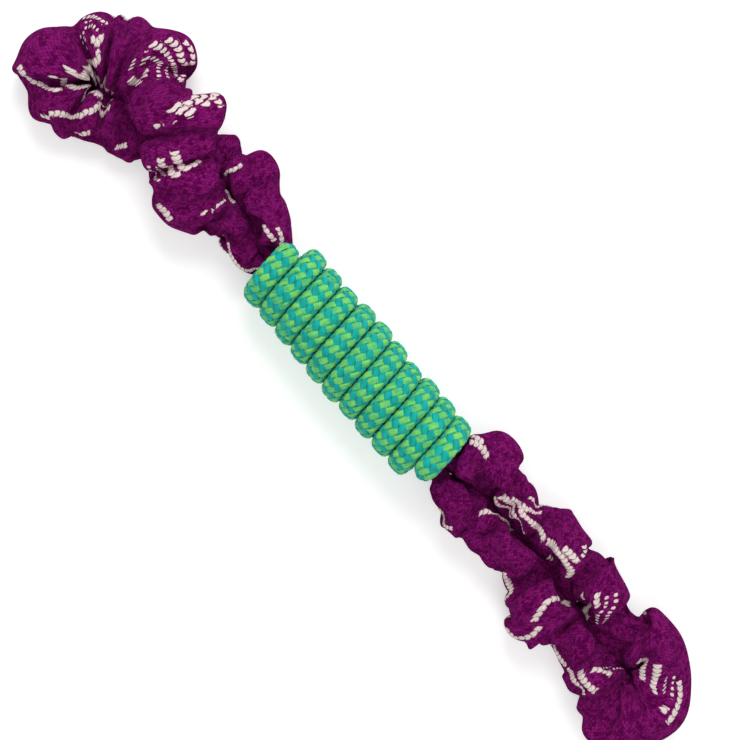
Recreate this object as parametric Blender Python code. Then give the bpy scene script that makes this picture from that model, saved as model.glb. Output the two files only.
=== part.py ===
"""Bungee tug toy: an elastic cord in a gathered fabric sleeve, closed into one long ring.

The ring is pinched in the middle by a thick braided cord, wound on as a grip, so that
each end is a soft loop of two strands. Metres, +Z up, with the toy lying on its side.
+X runs along the grip from end A to end B, and +Y across the strands. The origin is on
the surface that the toy rests on, under the turn of the cord next to the grip's middle.
"""

import math
from collections import namedtuple

import bmesh
import bpy
import numpy as np

# What the grip covers: two runs of the sleeve, drawn tight on the elastic cord in them,
# which lie below the grip's axis and so leave room for the wound cord's tucked ends.
CLEARANCE = 0.0003
BUNGEE_DIAMETER = 0.0050
RUN_WALL = 0.0018
RUN_DROP = 0.0028
SEAM_LENGTH = 0.0080
SEAM_THICKNESS = 0.0004
SEAM_PLACE = -0.0220
WHIPPING_LENGTH = 0.0140
WHIPPING_THICKNESS = 0.0005
WHIPPING_PLACE = 0.0160

# The grip: a braided cord wound side by side on the two runs, to about 43 mm across.
CORD_DIAMETER = 0.0113
TURN_GAP = 0.0005
TURNS = 10
TURN_POINTS = 24
CORD_SIDES = 6
REST_CUT_SHARE = 0.1

# The wound cord's tucked ends, squeezed between the covered runs and the turns.
TAIL_DIAMETER = 0.0066
TAIL_LENGTH = 0.0160

# The two loop ends, measured from the mouths of the grip.
MOUTH_DEPTH = 0.0040
REACH_A = 0.160
REACH_B = 0.168
LOOP_HALF_WIDTH = 0.040
NECK_LENGTH = 0.021
BEND_LENGTH_A = 0.036
BEND_LENGTH_B = 0.044

# The gathered sleeve: its drawn-in root, its folds and the gaps between its strands.
FOLD_REACH = 0.0200
FOLD_ROOT = 0.0085
FOLD_WIDTH = 0.0100
FLARE_LENGTH = 0.0080
STRAND_GAP = 0.0010
THINNEST_WALL = 0.0010
STATION_STEP = 0.0040
SECTION_POINTS = 14

# The bore and the elastic cord in it are plainer tubes.
BORE_STEP = 0.0060
BORE_SIDES = 8
CUT_OVERRUN = 0.0020

# Steps of each smooth curve between two of its knots, and those kept on a tucked end.
CURVE_STEPS = 24
TUCK_POINTS = 3

BUNGEE_RADIUS = BUNGEE_DIAMETER / 2
BORE_RADIUS = BUNGEE_RADIUS + CLEARANCE
WHIPPING_RADIUS = BORE_RADIUS + WHIPPING_THICKNESS
RUN_RADIUS = BORE_RADIUS + RUN_WALL
RUN_SIDE = RUN_RADIUS + CLEARANCE / 2
CORD_RADIUS = CORD_DIAMETER / 2
CORD_FLAT_RADIUS = CORD_RADIUS * math.cos(math.pi / CORD_SIDES)
COVERED_RADIUS = math.hypot(RUN_SIDE, RUN_DROP) + RUN_RADIUS + CLEARANCE
WINDING_RADIUS = COVERED_RADIUS + CORD_RADIUS
PITCH = CORD_DIAMETER + TURN_GAP
GRIP_MIDDLE = -PITCH / 2
GRIP_HALF = (TURNS + 1) * PITCH / 2
RUN_END = GRIP_HALF - MOUTH_DEPTH
AXIS_HEIGHT = WINDING_RADIUS + CORD_FLAT_RADIUS - REST_CUT_SHARE * CORD_DIAMETER
RUN_HEIGHT = AXIS_HEIGHT - RUN_DROP
TAIL_RADIUS = TAIL_DIAMETER / 2
TAIL_OFFSET = COVERED_RADIUS - TURN_GAP - TAIL_RADIUS

# How the wound cord tucks in after its last turn: along the grip as a share of the
# pitch, across as a share of the winding's radius, up from the tail as a share of the
# way to the winding, and how far it is still from its squeezed size.
TUCK_SHARES = (
    (0.08, -0.56, 0.46, 0.50),
    (-0.12, -0.45, 0.15, 0.15),
    (-0.52, -0.17, 0.03, 0.00),
    (-1.00, -0.01, 0.00, 0.00),
)
TUCK_TURN_SHARE = 0.08

# The share of a turn by which the cord is twisted so that its facets face the runs.
CORD_TILT_SHARE = 0.024

# Each loop's route, out along one strand and back along the other: how far out of the
# mouth as a share of the reach, how far across as a share of the loop's half width, how
# high as a share of the covered run's height, and how flat the sleeve lies there.
ROUTE_A_SHARES = (
    (0.110, -0.130, 1.00, 0.80),
    (0.250, -0.200, 1.10, 0.74),
    (0.385, -0.020, 1.40, 0.66),
    (0.520, 0.240, 1.36, 0.66),
    (0.655, 0.400, 1.00, 0.74),
    (0.760, 0.325, 0.84, 0.74),
    (0.841, 0.096, 0.80, 0.74),
    (0.866, -0.265, 0.80, 0.74),
    (0.820, -0.600, 0.80, 0.74),
    (0.730, -0.675, 0.78, 0.72),
    (0.640, -0.506, 0.70, 0.68),
    (0.553, -0.325, 0.60, 0.62),
    (0.474, -0.096, 0.52, 0.60),
    (0.390, 0.170, 0.52, 0.62),
    (0.308, 0.360, 0.60, 0.66),
    (0.218, 0.446, 0.76, 0.72),
    (0.119, 0.400, 0.92, 0.80),
)
ROUTE_B_SHARES = (
    (0.100, -0.170, 1.00, 0.80),
    (0.220, -0.170, 0.88, 0.76),
    (0.330, -0.150, 0.82, 0.76),
    (0.450, -0.190, 0.80, 0.74),
    (0.570, -0.240, 0.80, 0.74),
    (0.680, -0.270, 0.80, 0.74),
    (0.800, -0.340, 0.80, 0.74),
    (0.865, -0.200, 0.82, 0.74),
    (0.893, 0.070, 0.82, 0.74),
    (0.865, 0.350, 0.82, 0.74),
    (0.800, 0.470, 0.82, 0.74),
    (0.670, 0.330, 0.80, 0.74),
    (0.580, 0.400, 0.80, 0.74),
    (0.425, 0.440, 0.80, 0.74),
    (0.280, 0.430, 0.84, 0.76),
    (0.110, 0.400, 0.96, 0.80),
)

# The folds of each loop: where along its route, as a share of the route's length; how
# far the fold stands out on the left and on the right of the way round, as shares of
# FOLD_REACH; its width, as a share of FOLD_WIDTH; and its slant, as a share of its width.
FOLDS_A_SHARES = (
    (0.030, 0.50, 0.60, 0.7, 0.0),
    (0.068, 0.50, 0.80, 0.8, 0.2),
    (0.108, 0.52, 0.90, 0.8, 0.3),
    (0.152, 1.10, 0.90, 1.0, -0.2),
    (0.205, 1.00, 1.00, 1.0, 0.2),
    (0.252, 1.10, 1.25, 0.9, 0.2),
    (0.292, 1.10, 1.25, 0.8, 0.2),
    (0.350, 1.20, 1.25, 1.1, 0.0),
    (0.402, 1.10, 0.90, 0.9, 0.0),
    (0.447, 1.20, 0.62, 0.9, 0.0),
    (0.508, 1.30, 1.12, 1.3, 0.0),
    (0.565, 1.20, 0.84, 0.9, 0.0),
    (0.610, 1.10, 0.60, 0.8, 0.0),
    (0.655, 1.00, 0.55, 0.8, 0.0),
    (0.700, 0.90, 0.55, 0.8, 0.0),
    (0.745, 0.90, 0.80, 0.9, 0.0),
    (0.790, 0.90, 0.90, 0.9, 0.0),
    (0.832, 0.76, 0.80, 0.9, 0.0),
    (0.875, 0.72, 0.80, 0.9, 0.0),
    (0.918, 0.58, 0.80, 0.9, 0.0),
    (0.962, 0.60, 0.60, 0.8, 0.0),
)
FOLDS_B_SHARES = (
    (0.032, 0.60, 0.56, 0.8, 0.0),
    (0.080, 0.90, 0.72, 1.0, 0.2),
    (0.135, 1.00, 0.58, 1.0, 0.0),
    (0.190, 1.10, 0.60, 1.0, 0.0),
    (0.257, 1.00, 1.26, 1.1, 0.3),
    (0.315, 1.00, 0.60, 0.9, 0.0),
    (0.365, 1.00, 0.64, 0.9, 0.0),
    (0.412, 1.00, 0.80, 0.9, 0.0),
    (0.462, 1.30, 0.84, 1.1, 0.0),
    (0.520, 1.30, 0.92, 1.1, 0.0),
    (0.575, 1.20, 0.76, 1.0, 0.0),
    (0.620, 1.10, 0.60, 0.7, 0.0),
    (0.672, 1.00, 0.84, 0.9, 0.0),
    (0.725, 1.00, 0.64, 0.8, 0.0),
    (0.770, 1.00, 0.84, 0.9, 0.0),
    (0.815, 1.00, 0.70, 0.8, 0.0),
    (0.860, 1.00, 0.62, 0.9, 0.0),
    (0.918, 1.00, 0.84, 1.1, -0.2),
    (0.965, 0.70, 0.86, 0.8, 0.0),
)
FOLD_ROUNDNESS = 2.4
FOLD_SHARPNESS = 8.0

PURPLE = (0.130, 0.004, 0.085)
GREEN = (0.060, 0.420, 0.220)
ELASTIC_WHITE = (0.620, 0.600, 0.560)
THREAD_WHITE = (0.700, 0.680, 0.640)

# A curve and, at each of its points, its place along, direction, level side and upward
# side, and how flat the sleeve lies there.
Route = namedtuple("Route", "places points along side up flat")


def clear_scene():
    for old in list(bpy.data.objects):
        bpy.data.objects.remove(old)


def plain_material(name, colour, roughness):
    """A matte material of one colour."""
    material = bpy.data.materials.new(name)
    material.use_nodes = True
    shader = material.node_tree.nodes["Principled BSDF"]
    shader.inputs["Base Color"].default_value = (*colour, 1.0)
    shader.inputs["Roughness"].default_value = roughness
    shader.inputs["Metallic"].default_value = 0.0
    return material


def link(name, data, colour=None):
    made = bpy.data.objects.new(name, data)
    bpy.context.scene.collection.objects.link(made)
    if colour:
        data.materials.append(plain_material(name, colour, 0.85))
    return made


def pivot_at(name, along, carrier=None):
    """An empty on a joint's axis, hung from the empty of the joint that carries it."""
    pivot = bpy.data.objects.new(name, None)
    bpy.context.scene.collection.objects.link(pivot)
    pivot.location = (along, 0.0, RUN_HEIGHT)
    if carrier:
        hang(pivot, carrier)
    return pivot


def world_place(thing):
    place = thing.location.copy()
    while thing.parent:
        thing = thing.parent
        place += thing.location
    return place


def hang(thing, carrier):
    """Parents a thing to the carrier and leaves it where it is."""
    thing.location -= world_place(carrier)
    thing.parent = carrier


def make_real(made):
    """The object with its modifiers applied, so that their cutters can go."""
    graph = bpy.context.evaluated_depsgraph_get()
    flat = bpy.data.meshes.new_from_object(made.evaluated_get(graph))
    made.modifiers.clear()
    made.data = flat


def cut(made, cutter):
    """Takes the cutter's volume out of a solid."""
    cutter.hide_render = True
    cutter.display_type = "WIRE"
    boolean = made.modifiers.new("cut", "BOOLEAN")
    boolean.operation = "DIFFERENCE"
    boolean.object = cutter
    make_real(made)
    bpy.data.objects.remove(cutter)


def unit(vectors):
    return vectors / np.linalg.norm(vectors, axis=1)[:, None]


def curve_through(knots):
    """Close points on a smooth curve through the knots, which may carry more columns."""
    padded = np.array([knots[0], *knots, knots[-1]], float)
    share = np.linspace(0.0, 1.0, CURVE_STEPS, endpoint=False)[:, None]
    pieces = [
        b
        + share / 2 * (c - a)
        + share**2 * (a - 5 * b / 2 + 2 * c - d / 2)
        + share**3 * (3 * b - a - 3 * c + d) / 2
        for a, b, c, d in zip(padded, padded[1:], padded[2:], padded[3:])
    ]
    return np.vstack([*pieces, padded[-1:]])


def route_through(knots):
    """The route through knots of a place and a flatness."""
    curve = curve_through(knots)
    points = curve[:, :3]
    steps = np.linalg.norm(np.diff(points, axis=0), axis=1)
    places = np.concatenate([[0.0], np.cumsum(steps)])
    along = unit(np.gradient(points, places, axis=0))
    side = unit(np.cross((0.0, 0.0, 1.0), along))
    return Route(places, points, along, side, np.cross(along, side), curve[:, 3])


def stretch(route, start, end, step):
    """Evenly spaced stations of a route, between two places along it."""
    places = np.linspace(start, end, max(2, round((end - start) / step) + 1))

    def read(values):
        return np.column_stack([np.interp(places, route.places, column) for column in values.T])

    return Route(
        places,
        read(route.points),
        unit(read(route.along)),
        unit(read(route.side)),
        unit(read(route.up)),
        np.interp(places, route.places, route.flat),
    )


def loop_route(direction, reach, shares):
    """One loop's route, from one mouth of the grip out and back in at the other."""
    straight = [
        GRIP_MIDDLE + direction * out for out in (RUN_END, GRIP_HALF, GRIP_HALF + MOUTH_DEPTH)
    ]
    outward = [(x, -RUN_SIDE, RUN_HEIGHT, 1.0) for x in straight]
    inward = [(x, RUN_SIDE, RUN_HEIGHT, 1.0) for x in reversed(straight)]
    between = [
        (
            GRIP_MIDDLE + direction * (GRIP_HALF + out * reach),
            across * LOOP_HALF_WIDTH,
            up * RUN_HEIGHT,
            flat,
        )
        for out, across, up, flat in shares
    ]
    return route_through([*outward, *between, *inward])


def fold_radii(places, length, angles, folds):
    """How far the gathered sleeve stands out, at each place along and angle around."""
    total = np.zeros((len(places), len(angles)))
    for where, left, right, width, slant in folds:
        leftward = (1 + np.cos(angles)) / 2
        crest = (left * leftward + right * (1 - leftward)) * FOLD_REACH
        half = width * FOLD_WIDTH
        offset = (places[:, None] - where * length - slant * half * np.cos(angles)) / half
        pillow = (1 - np.abs(offset) ** FOLD_ROUNDNESS).clip(0) ** (1 / FOLD_ROUNDNESS)
        total += ((crest - FOLD_ROOT).clip(0) * pillow) ** FOLD_SHARPNESS
    out = np.minimum(places, length - places) - MOUTH_DEPTH
    flare = (out / FLARE_LENGTH).clip(0, 1)
    flare = (flare * flare * (3 - 2 * flare))[:, None]
    return RUN_RADIUS + flare * (FOLD_ROOT - RUN_RADIUS + total ** (1 / FOLD_SHARPNESS))


def room(stations, directions, route):
    """How far each station's section can reach before it meets another strand."""
    apart = route.points[None, :, :] - stations.points[:, None, :]
    squared = (apart**2).sum(axis=2)[:, None, :]
    facing = np.einsum("sak,sqk->saq", directions, apart)
    reach = np.where(facing > CLEARANCE, squared / (2 * facing.clip(CLEARANCE)), np.inf)
    return reach.min(axis=2) - STRAND_GAP / 2


def floor_room(stations, directions):
    """How far each station's section can reach before it meets the floor."""
    down = -directions[:, :, 2]
    height = stations.points[:, 2][:, None]
    return np.where(down > 0, height / np.where(down > 0, down, 1), np.inf)


def sleeve_sections(route, stations, folds):
    """Rings of points on the gathered sleeve, clear of its other strand and the floor."""
    angles = np.arange(SECTION_POINTS) * 2 * math.pi / SECTION_POINTS
    radii = fold_radii(stations.places, route.places[-1], angles, folds)
    level = (radii * np.cos(angles))[:, :, None] * stations.side[:, None, :]
    height = (radii * np.sin(angles) * stations.flat[:, None])[:, :, None]
    arms = level + height * stations.up[:, None, :]
    lengths = np.linalg.norm(arms, axis=2)
    directions = arms / lengths[:, :, None]
    limit = room(stations, directions, route).clip(BORE_RADIUS + THINNEST_WALL)
    allowed = np.minimum(np.minimum(lengths, limit), floor_room(stations, directions))
    return stations.points[:, None, :] + directions * allowed[:, :, None]


def ring_edges(mesh, ring):
    return [mesh.edges.get((ring[k - 1], ring[k])) for k in range(len(ring))]


def extruded_ring(mesh, ring):
    """The next ring of a skin, in the same order as the ring that it grows from."""
    grown = set(bmesh.ops.extrude_edge_only(mesh, edges=ring_edges(mesh, ring))["geom"])
    return [
        next(edge.other_vert(old) for edge in old.link_edges if edge.other_vert(old) in grown)
        for old in ring
    ]


def skin(name, sections, colour=None):
    """A closed solid through rings of points, made by extruding the first ring."""
    mesh = bmesh.new()
    count = len(sections[0])
    made = bmesh.ops.create_circle(mesh, cap_ends=True, segments=count, radius=RUN_RADIUS)
    ring = made["verts"]
    for number, section in enumerate(sections):
        if number > 0:
            ring = extruded_ring(mesh, ring)
        for vert, point in zip(ring, section):
            vert.co = point
    bmesh.ops.edgeloop_fill(mesh, edges=ring_edges(mesh, ring))
    bmesh.ops.recalc_face_normals(mesh, faces=mesh.faces)
    data = bpy.data.meshes.new(name)
    mesh.to_mesh(data)
    mesh.free()
    data.shade_smooth()
    return link(name, data, colour)


def round_tube(name, stations, radii, colour=None):
    """A closed round tube through stations, with one radius or one for each station."""
    angles = np.arange(BORE_SIDES) * 2 * math.pi / BORE_SIDES
    across = np.cos(angles)[None, :, None] * stations.side[:, None, :]
    upward = np.sin(angles)[None, :, None] * stations.up[:, None, :]
    size = np.broadcast_to(radii, len(stations.points))[:, None, None]
    return skin(name, stations.points[:, None, :] + size * (across + upward), colour)


def bore_cutter(stations, radius):
    """A plain tube through a sleeve piece and past both of its ends."""
    points = stations.points.copy()
    points[0] -= CUT_OVERRUN * stations.along[0]
    points[-1] += CUT_OVERRUN * stations.along[-1]
    return round_tube("bore_cutter", stations._replace(points=points), radius)


def sleeve_and_bungee(name, route, start, end, folds, pivot):
    """A stretch of the gathered sleeve, bored for the elastic cord that runs in it."""
    first, last = start + CLEARANCE / 2, end - CLEARANCE / 2
    inner = stretch(route, first, last, BORE_STEP)
    outer = stretch(route, first, last, STATION_STEP)
    sleeve = skin(f"sleeve_{name}", sleeve_sections(route, outer, folds), PURPLE)
    cut(sleeve, bore_cutter(inner, BORE_RADIUS))
    bungee = round_tube(f"bungee_{name}", inner, BUNGEE_RADIUS, ELASTIC_WHITE)
    for piece in (sleeve, bungee):
        hang(piece, pivot)


def place_at(route, half, out):
    """Where along a loop's route it is this far out of the mouth, on one of its halves."""
    middle = len(route.places) // 2
    distance = np.abs(route.points[:, 0] - route.points[0, 0]) - MOUTH_DEPTH
    if half == "front":
        return float(np.interp(out, distance[:middle], route.places[:middle]))
    return float(np.interp(out, distance[:middle:-1], route.places[:middle:-1]))


def loop_end(end, direction, reach, bend_length, shares, folds):
    """One end of the toy: two necks, two strands and the bend that joins them."""
    route = loop_route(direction, reach, shares)
    total = float(route.places[-1])
    bend_start = reach - bend_length
    front_neck, front_bend = (place_at(route, "front", x) for x in (NECK_LENGTH, bend_start))
    back_neck, back_bend = (place_at(route, "back", x) for x in (NECK_LENGTH, bend_start))
    mouth = GRIP_MIDDLE + direction * GRIP_HALF
    swing = pivot_at(f"swing_{end}", mouth)
    lift = pivot_at(f"lift_{end}", mouth + direction * NECK_LENGTH, swing)
    slide = pivot_at(f"stretch_{end}", mouth + direction * bend_start, lift)
    stretches = {
        f"neck_{end}_front": (0.0, front_neck, swing),
        f"strand_{end}_front": (front_neck, front_bend, lift),
        f"loop_{end}": (front_bend, back_bend, slide),
        f"strand_{end}_back": (back_bend, back_neck, lift),
        f"neck_{end}_back": (back_neck, total, swing),
    }
    for name, (start, stop, pivot) in stretches.items():
        sleeve_and_bungee(name, route, start, stop, folds, pivot)
    print(f"loop {end}: {total:.4f} m of elastic cord between the mouths")


def tuck_knots():
    """The wound cord's last knots at end B, from the grip's axis and middle."""
    squeezed = TAIL_DIAMETER / CORD_DIAMETER
    rise = WINDING_RADIUS - TAIL_OFFSET
    knots = [
        (
            (TURNS / 2 + along) * PITCH,
            across * WINDING_RADIUS,
            TAIL_OFFSET + up * rise,
            squeezed + size * (1 - squeezed),
        )
        for along, across, up, size in TUCK_SHARES
    ]
    return np.array([*knots, (knots[-1][0] - TAIL_LENGTH, 0.0, TAIL_OFFSET, squeezed)])


def winding():
    """The wound cord's points, each with a thickness and a turn number."""
    count = round((TURNS + 2 * TUCK_TURN_SHARE) * TURN_POINTS) + 1
    turns = np.linspace(-TUCK_TURN_SHARE, TURNS + TUCK_TURN_SHARE, count)
    angles = 2 * math.pi * (turns + 0.25)
    helix = np.column_stack(
        [
            (turns - TURNS / 2) * PITCH,
            WINDING_RADIUS * np.cos(angles),
            WINDING_RADIUS * np.sin(angles),
            np.ones(count),
        ]
    )
    lead = curve_through([*helix[-3:], *tuck_knots()])
    tail = lead[3 * CURVE_STEPS :: CURVE_STEPS // TUCK_POINTS]
    head = tail[::-1] * (-1, -1, 1, 1)
    points = np.vstack([head, helix, tail]) + (GRIP_MIDDLE, 0, AXIS_HEIGHT, 0)
    number = np.concatenate([np.full(len(head), turns[0]), turns, np.full(len(tail), turns[-1])])
    return points[:, :3], points[:, 3], number


def least_gap(points, radii):
    """The narrowest gap between the wound cord and its own turns."""
    steps = np.linalg.norm(np.diff(points, axis=0), axis=1)
    places = np.concatenate([[0.0], np.cumsum(steps)])
    between = np.linalg.norm(points[:, None] - points[None, :], axis=2)
    gaps = between - radii[:, None] - radii[None, :]
    far = np.abs(places[:, None] - places[None, :]) > 2 * CORD_DIAMETER
    return np.where(far, gaps, np.inf).min()


def floor_cutter():
    """A box under the surface that the toy rests on."""
    size = 2 * (GRIP_HALF + CUT_OVERRUN)
    mesh = bmesh.new()
    bmesh.ops.create_cube(mesh, size=size)
    bmesh.ops.translate(mesh, verts=mesh.verts, vec=(GRIP_MIDDLE, 0.0, -size / 2))
    data = bpy.data.meshes.new("floor_cutter")
    mesh.to_mesh(data)
    mesh.free()
    return link("floor_cutter", data)


def wound_curve():
    """The wound cord as one curve with a round bevel and filled ends."""
    points, sizes, turns = winding()
    gap = least_gap(points, sizes * CORD_RADIUS)
    print(f"grip cord: {len(points)} points, least gap to itself {gap * 1000:.2f} mm")
    data = bpy.data.curves.new("winding", "CURVE")
    data.dimensions = "3D"
    data.bevel_depth = CORD_RADIUS
    data.bevel_resolution = 1
    data.use_fill_caps = True
    spline = data.splines.new("POLY")
    spline.points.add(len(points) - 1)
    lead = PITCH / math.hypot(PITCH, 2 * math.pi * WINDING_RADIUS)
    for point, place, size, turn in zip(spline.points, points, sizes, turns):
        point.co = (*place, 1.0)
        point.radius = size
        point.tilt = 2 * math.pi * (CORD_TILT_SHARE + lead * turn)
    return link("winding", data)


def grip_cord():
    """The wound cord, with its turns cut flat where they rest."""
    curve = wound_curve()
    cord = link("grip_cord", bpy.data.meshes.new_from_object(curve), GREEN)
    bpy.data.objects.remove(curve)
    cut(cord, floor_cutter())
    cord.data.shade_smooth()


def banded_tube(name, side, bands, colour):
    """A straight tube along the grip, each band with a start, an end and a radius."""
    places = np.array([place for first, last, _ in bands for place in (first, last)])
    radii = [radius for _, _, radius in bands for _ in range(2)]
    count = len(places)
    points = np.column_stack([places, np.full(count, side), np.full(count, RUN_HEIGHT)])
    along, across, up = (np.tile(axis, (count, 1)) for axis in np.identity(3))
    stations = Route(places, points, along, across, up, np.ones(count))
    return round_tube(name, stations, radii, colour)


def covered_tube(name, start, end, side, colour, inner=None, outer=RUN_RADIUS):
    """A straight tube along the grip, with a bore if it has an inner radius."""
    tube = banded_tube(name, side, [(start, end, outer)], colour)
    if inner:
        widest = [(start - CUT_OVERRUN, end + CUT_OVERRUN, inner)]
        cut(tube, banded_tube("bore_cutter", side, widest, None))
    return tube


def whole_run(start, end):
    """The run whose sleeve and elastic cord go through the grip in one piece."""
    covered_tube("sleeve_inside_grip", start, end, RUN_SIDE, PURPLE, inner=BORE_RADIUS)
    covered_tube("bungee_inside_grip", start, end, RUN_SIDE, ELASTIC_WHITE, outer=BUNGEE_RADIUS)


def joined_sleeve(start, end):
    """The run whose sleeve has its two cut ends drawn in and sewn together."""
    seam = GRIP_MIDDLE + SEAM_PLACE
    whipping = GRIP_MIDDLE + WHIPPING_PLACE
    waist = SEAM_LENGTH / 2 + CLEARANCE
    drawn = RUN_RADIUS - SEAM_THICKNESS - CLEARANCE
    shoulder = waist + RUN_RADIUS - drawn
    half_gap = CLEARANCE / 2
    ends = {
        "a": [(start, seam - shoulder, RUN_RADIUS), (seam - waist, seam - half_gap, drawn)],
        "b": [(seam + half_gap, seam + waist, drawn), (seam + shoulder, end, RUN_RADIUS)],
    }
    pocket = WHIPPING_LENGTH / 2 + CLEARANCE
    wide = WHIPPING_RADIUS + CLEARANCE
    bore = [
        (start - CUT_OVERRUN, whipping - pocket, BORE_RADIUS),
        (whipping - pocket, whipping + pocket, wide),
        (whipping + pocket, end + CUT_OVERRUN, BORE_RADIUS),
    ]
    for letter, bands in ends.items():
        sleeve = banded_tube(f"sleeve_end_{letter}_inside_grip", -RUN_SIDE, bands, PURPLE)
        cut(sleeve, banded_tube("bore_cutter", -RUN_SIDE, bore, None))
    covered_tube(
        "sleeve_seam_thread",
        seam - SEAM_LENGTH / 2,
        seam + SEAM_LENGTH / 2,
        -RUN_SIDE,
        THREAD_WHITE,
        inner=RUN_RADIUS - SEAM_THICKNESS,
    )


def joined_bungee(start, end):
    """The elastic cord's two ends, butted and held by a tight whipping of thread."""
    joint = GRIP_MIDDLE + WHIPPING_PLACE
    half_gap = CLEARANCE / 2
    ends = {"a": (start, joint - half_gap), "b": (joint + half_gap, end)}
    for letter, (first, last) in ends.items():
        name = f"bungee_end_{letter}_inside_grip"
        covered_tube(name, first, last, -RUN_SIDE, ELASTIC_WHITE, outer=BUNGEE_RADIUS)
    covered_tube(
        "bungee_whipping",
        joint - WHIPPING_LENGTH / 2,
        joint + WHIPPING_LENGTH / 2,
        -RUN_SIDE,
        THREAD_WHITE,
        inner=BORE_RADIUS,
        outer=WHIPPING_RADIUS,
    )


def main():
    clear_scene()
    grip_cord()
    start = GRIP_MIDDLE - RUN_END + CLEARANCE / 2
    end = GRIP_MIDDLE + RUN_END - CLEARANCE / 2
    whole_run(start, end)
    joined_sleeve(start, end)
    joined_bungee(start, end)
    loop_end("a", -1, REACH_A, BEND_LENGTH_A, ROUTE_A_SHARES, FOLDS_A_SHARES)
    loop_end("b", 1, REACH_B, BEND_LENGTH_B, ROUTE_B_SHARES, FOLDS_B_SHARES)


main()
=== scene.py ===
# %% [markdown]
# # Dressing a bungee tug toy
# The toy is one long elastic cord inside a woven sleeve, closed into a ring. A thick braided
# cord, wound round the ring's middle, makes the grip, and the ring's two ends stay as soft
# loops. The CAD model fixes where each piece is and how it moves. This script makes what the
# eye sees: the braid of the wound cord, and the sleeve with its gathers.
#
# It starts by loading the CAD model as a frame that nothing here may move.

# %% Load the frame
import math

import bmesh
import bpy
import numpy as np
from mathutils import Matrix, Vector


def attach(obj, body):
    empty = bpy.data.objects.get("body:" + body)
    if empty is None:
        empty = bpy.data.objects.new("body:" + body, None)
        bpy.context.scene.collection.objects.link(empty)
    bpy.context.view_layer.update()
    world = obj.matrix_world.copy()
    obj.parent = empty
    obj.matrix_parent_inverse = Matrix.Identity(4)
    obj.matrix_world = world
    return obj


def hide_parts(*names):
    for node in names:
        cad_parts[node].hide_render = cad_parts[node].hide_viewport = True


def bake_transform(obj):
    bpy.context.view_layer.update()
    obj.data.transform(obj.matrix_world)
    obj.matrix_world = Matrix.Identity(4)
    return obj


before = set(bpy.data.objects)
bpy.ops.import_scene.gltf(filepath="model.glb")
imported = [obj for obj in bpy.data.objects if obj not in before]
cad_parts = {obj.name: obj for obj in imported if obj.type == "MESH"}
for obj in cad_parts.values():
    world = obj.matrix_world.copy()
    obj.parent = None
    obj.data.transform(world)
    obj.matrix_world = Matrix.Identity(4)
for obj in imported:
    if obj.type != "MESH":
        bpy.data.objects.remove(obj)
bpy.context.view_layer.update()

# %% [markdown]
# ## The sizes that the CAD model and this script share
# A frame tells where the CAD solids are, but not the line that the elastic cord follows or
# the way the grip's cord winds. Those few numbers are repeated here from the CAD source, in
# metres. Everything else is worked out from them.

# %% Shared sizes, in metres
CLEARANCE = 0.0003
BUNGEE_RADIUS = 0.0025
RUN_RADIUS = 0.0046
RUN_SIDE = RUN_RADIUS + CLEARANCE / 2
RUN_DROP = 0.0028
CORD_RADIUS = 0.00565
CORD_SIDES = 6
REST_CUT_SHARE = 0.1
TURN_GAP = 0.0005
TURNS = 10
TURN_POINTS = 24
TAIL_RADIUS = 0.0033
TAIL_LENGTH = 0.0160
MOUTH_DEPTH = 0.0040
REACHES = {"a": 0.160, "b": 0.168}
BEND_LENGTHS = {"a": 0.036, "b": 0.044}
LOOP_HALF_WIDTH = 0.040
DIRECTIONS = {"a": -1, "b": 1}

COVERED_RADIUS = math.hypot(RUN_SIDE, RUN_DROP) + RUN_RADIUS + CLEARANCE
WINDING_RADIUS = COVERED_RADIUS + CORD_RADIUS
PITCH = 2 * CORD_RADIUS + TURN_GAP
GRIP_MIDDLE = -PITCH / 2
GRIP_HALF = (TURNS + 1) * PITCH / 2
RUN_END = GRIP_HALF - MOUTH_DEPTH
CORD_FLAT_RADIUS = CORD_RADIUS * math.cos(math.pi / CORD_SIDES)
AXIS_HEIGHT = WINDING_RADIUS + CORD_FLAT_RADIUS - REST_CUT_SHARE * 2 * CORD_RADIUS
RUN_HEIGHT = AXIS_HEIGHT - RUN_DROP
TAIL_OFFSET = COVERED_RADIUS - TURN_GAP - TAIL_RADIUS
MOUTHS = {end: GRIP_MIDDLE + way * GRIP_HALF for end, way in DIRECTIONS.items()}
print("the grip's axis is", round(AXIS_HEIGHT * 1000, 2), "mm above the floor")

# %% [markdown]
# ## The camera
# The photograph looks straight down, with the toy lying slantwise across a square picture. A
# long lens from far away keeps the two ends the same size. The camera's right and up
# directions are turned in the toy's own plane, so no piece of the toy has to turn.

# %% Camera
PICTURE_SIDE = 740
METRES_PER_PIXEL = 0.000482
TOY_SLANT = math.radians(49.3)
PICTURE_CENTRE = (0.0011, 0.00265)
LENS_MM = 85.0
SENSOR_MM = 36.0


def camera_above():
    data = bpy.data.cameras.new("camera")
    data.lens = LENS_MM
    data.sensor_width = SENSOR_MM
    camera = bpy.data.objects.new("camera", data)
    bpy.context.scene.collection.objects.link(camera)
    distance = PICTURE_SIDE * METRES_PER_PIXEL * LENS_MM / SENSOR_MM
    right = Vector((math.cos(TOY_SLANT), math.sin(TOY_SLANT), 0))
    up = Vector((-math.sin(TOY_SLANT), math.cos(TOY_SLANT), 0))
    turn = Matrix((right, up, Vector((0, 0, 1)))).transposed().to_4x4()
    camera.matrix_world = Matrix.Translation((*PICTURE_CENTRE, AXIS_HEIGHT + distance)) @ turn
    bpy.context.scene.camera = camera
    return distance


print("the camera is", round(camera_above(), 3), "m above the grip")

# %% [markdown]
# ## Curves that carry tubes
# The cord and the sleeve both follow smooth lines through a few chosen points. A Catmull-Rom
# curve goes through every one of its points, so the line in this script is the same line as
# in the CAD model.

# %% Curves
CURVE_STEPS = 24


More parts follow.
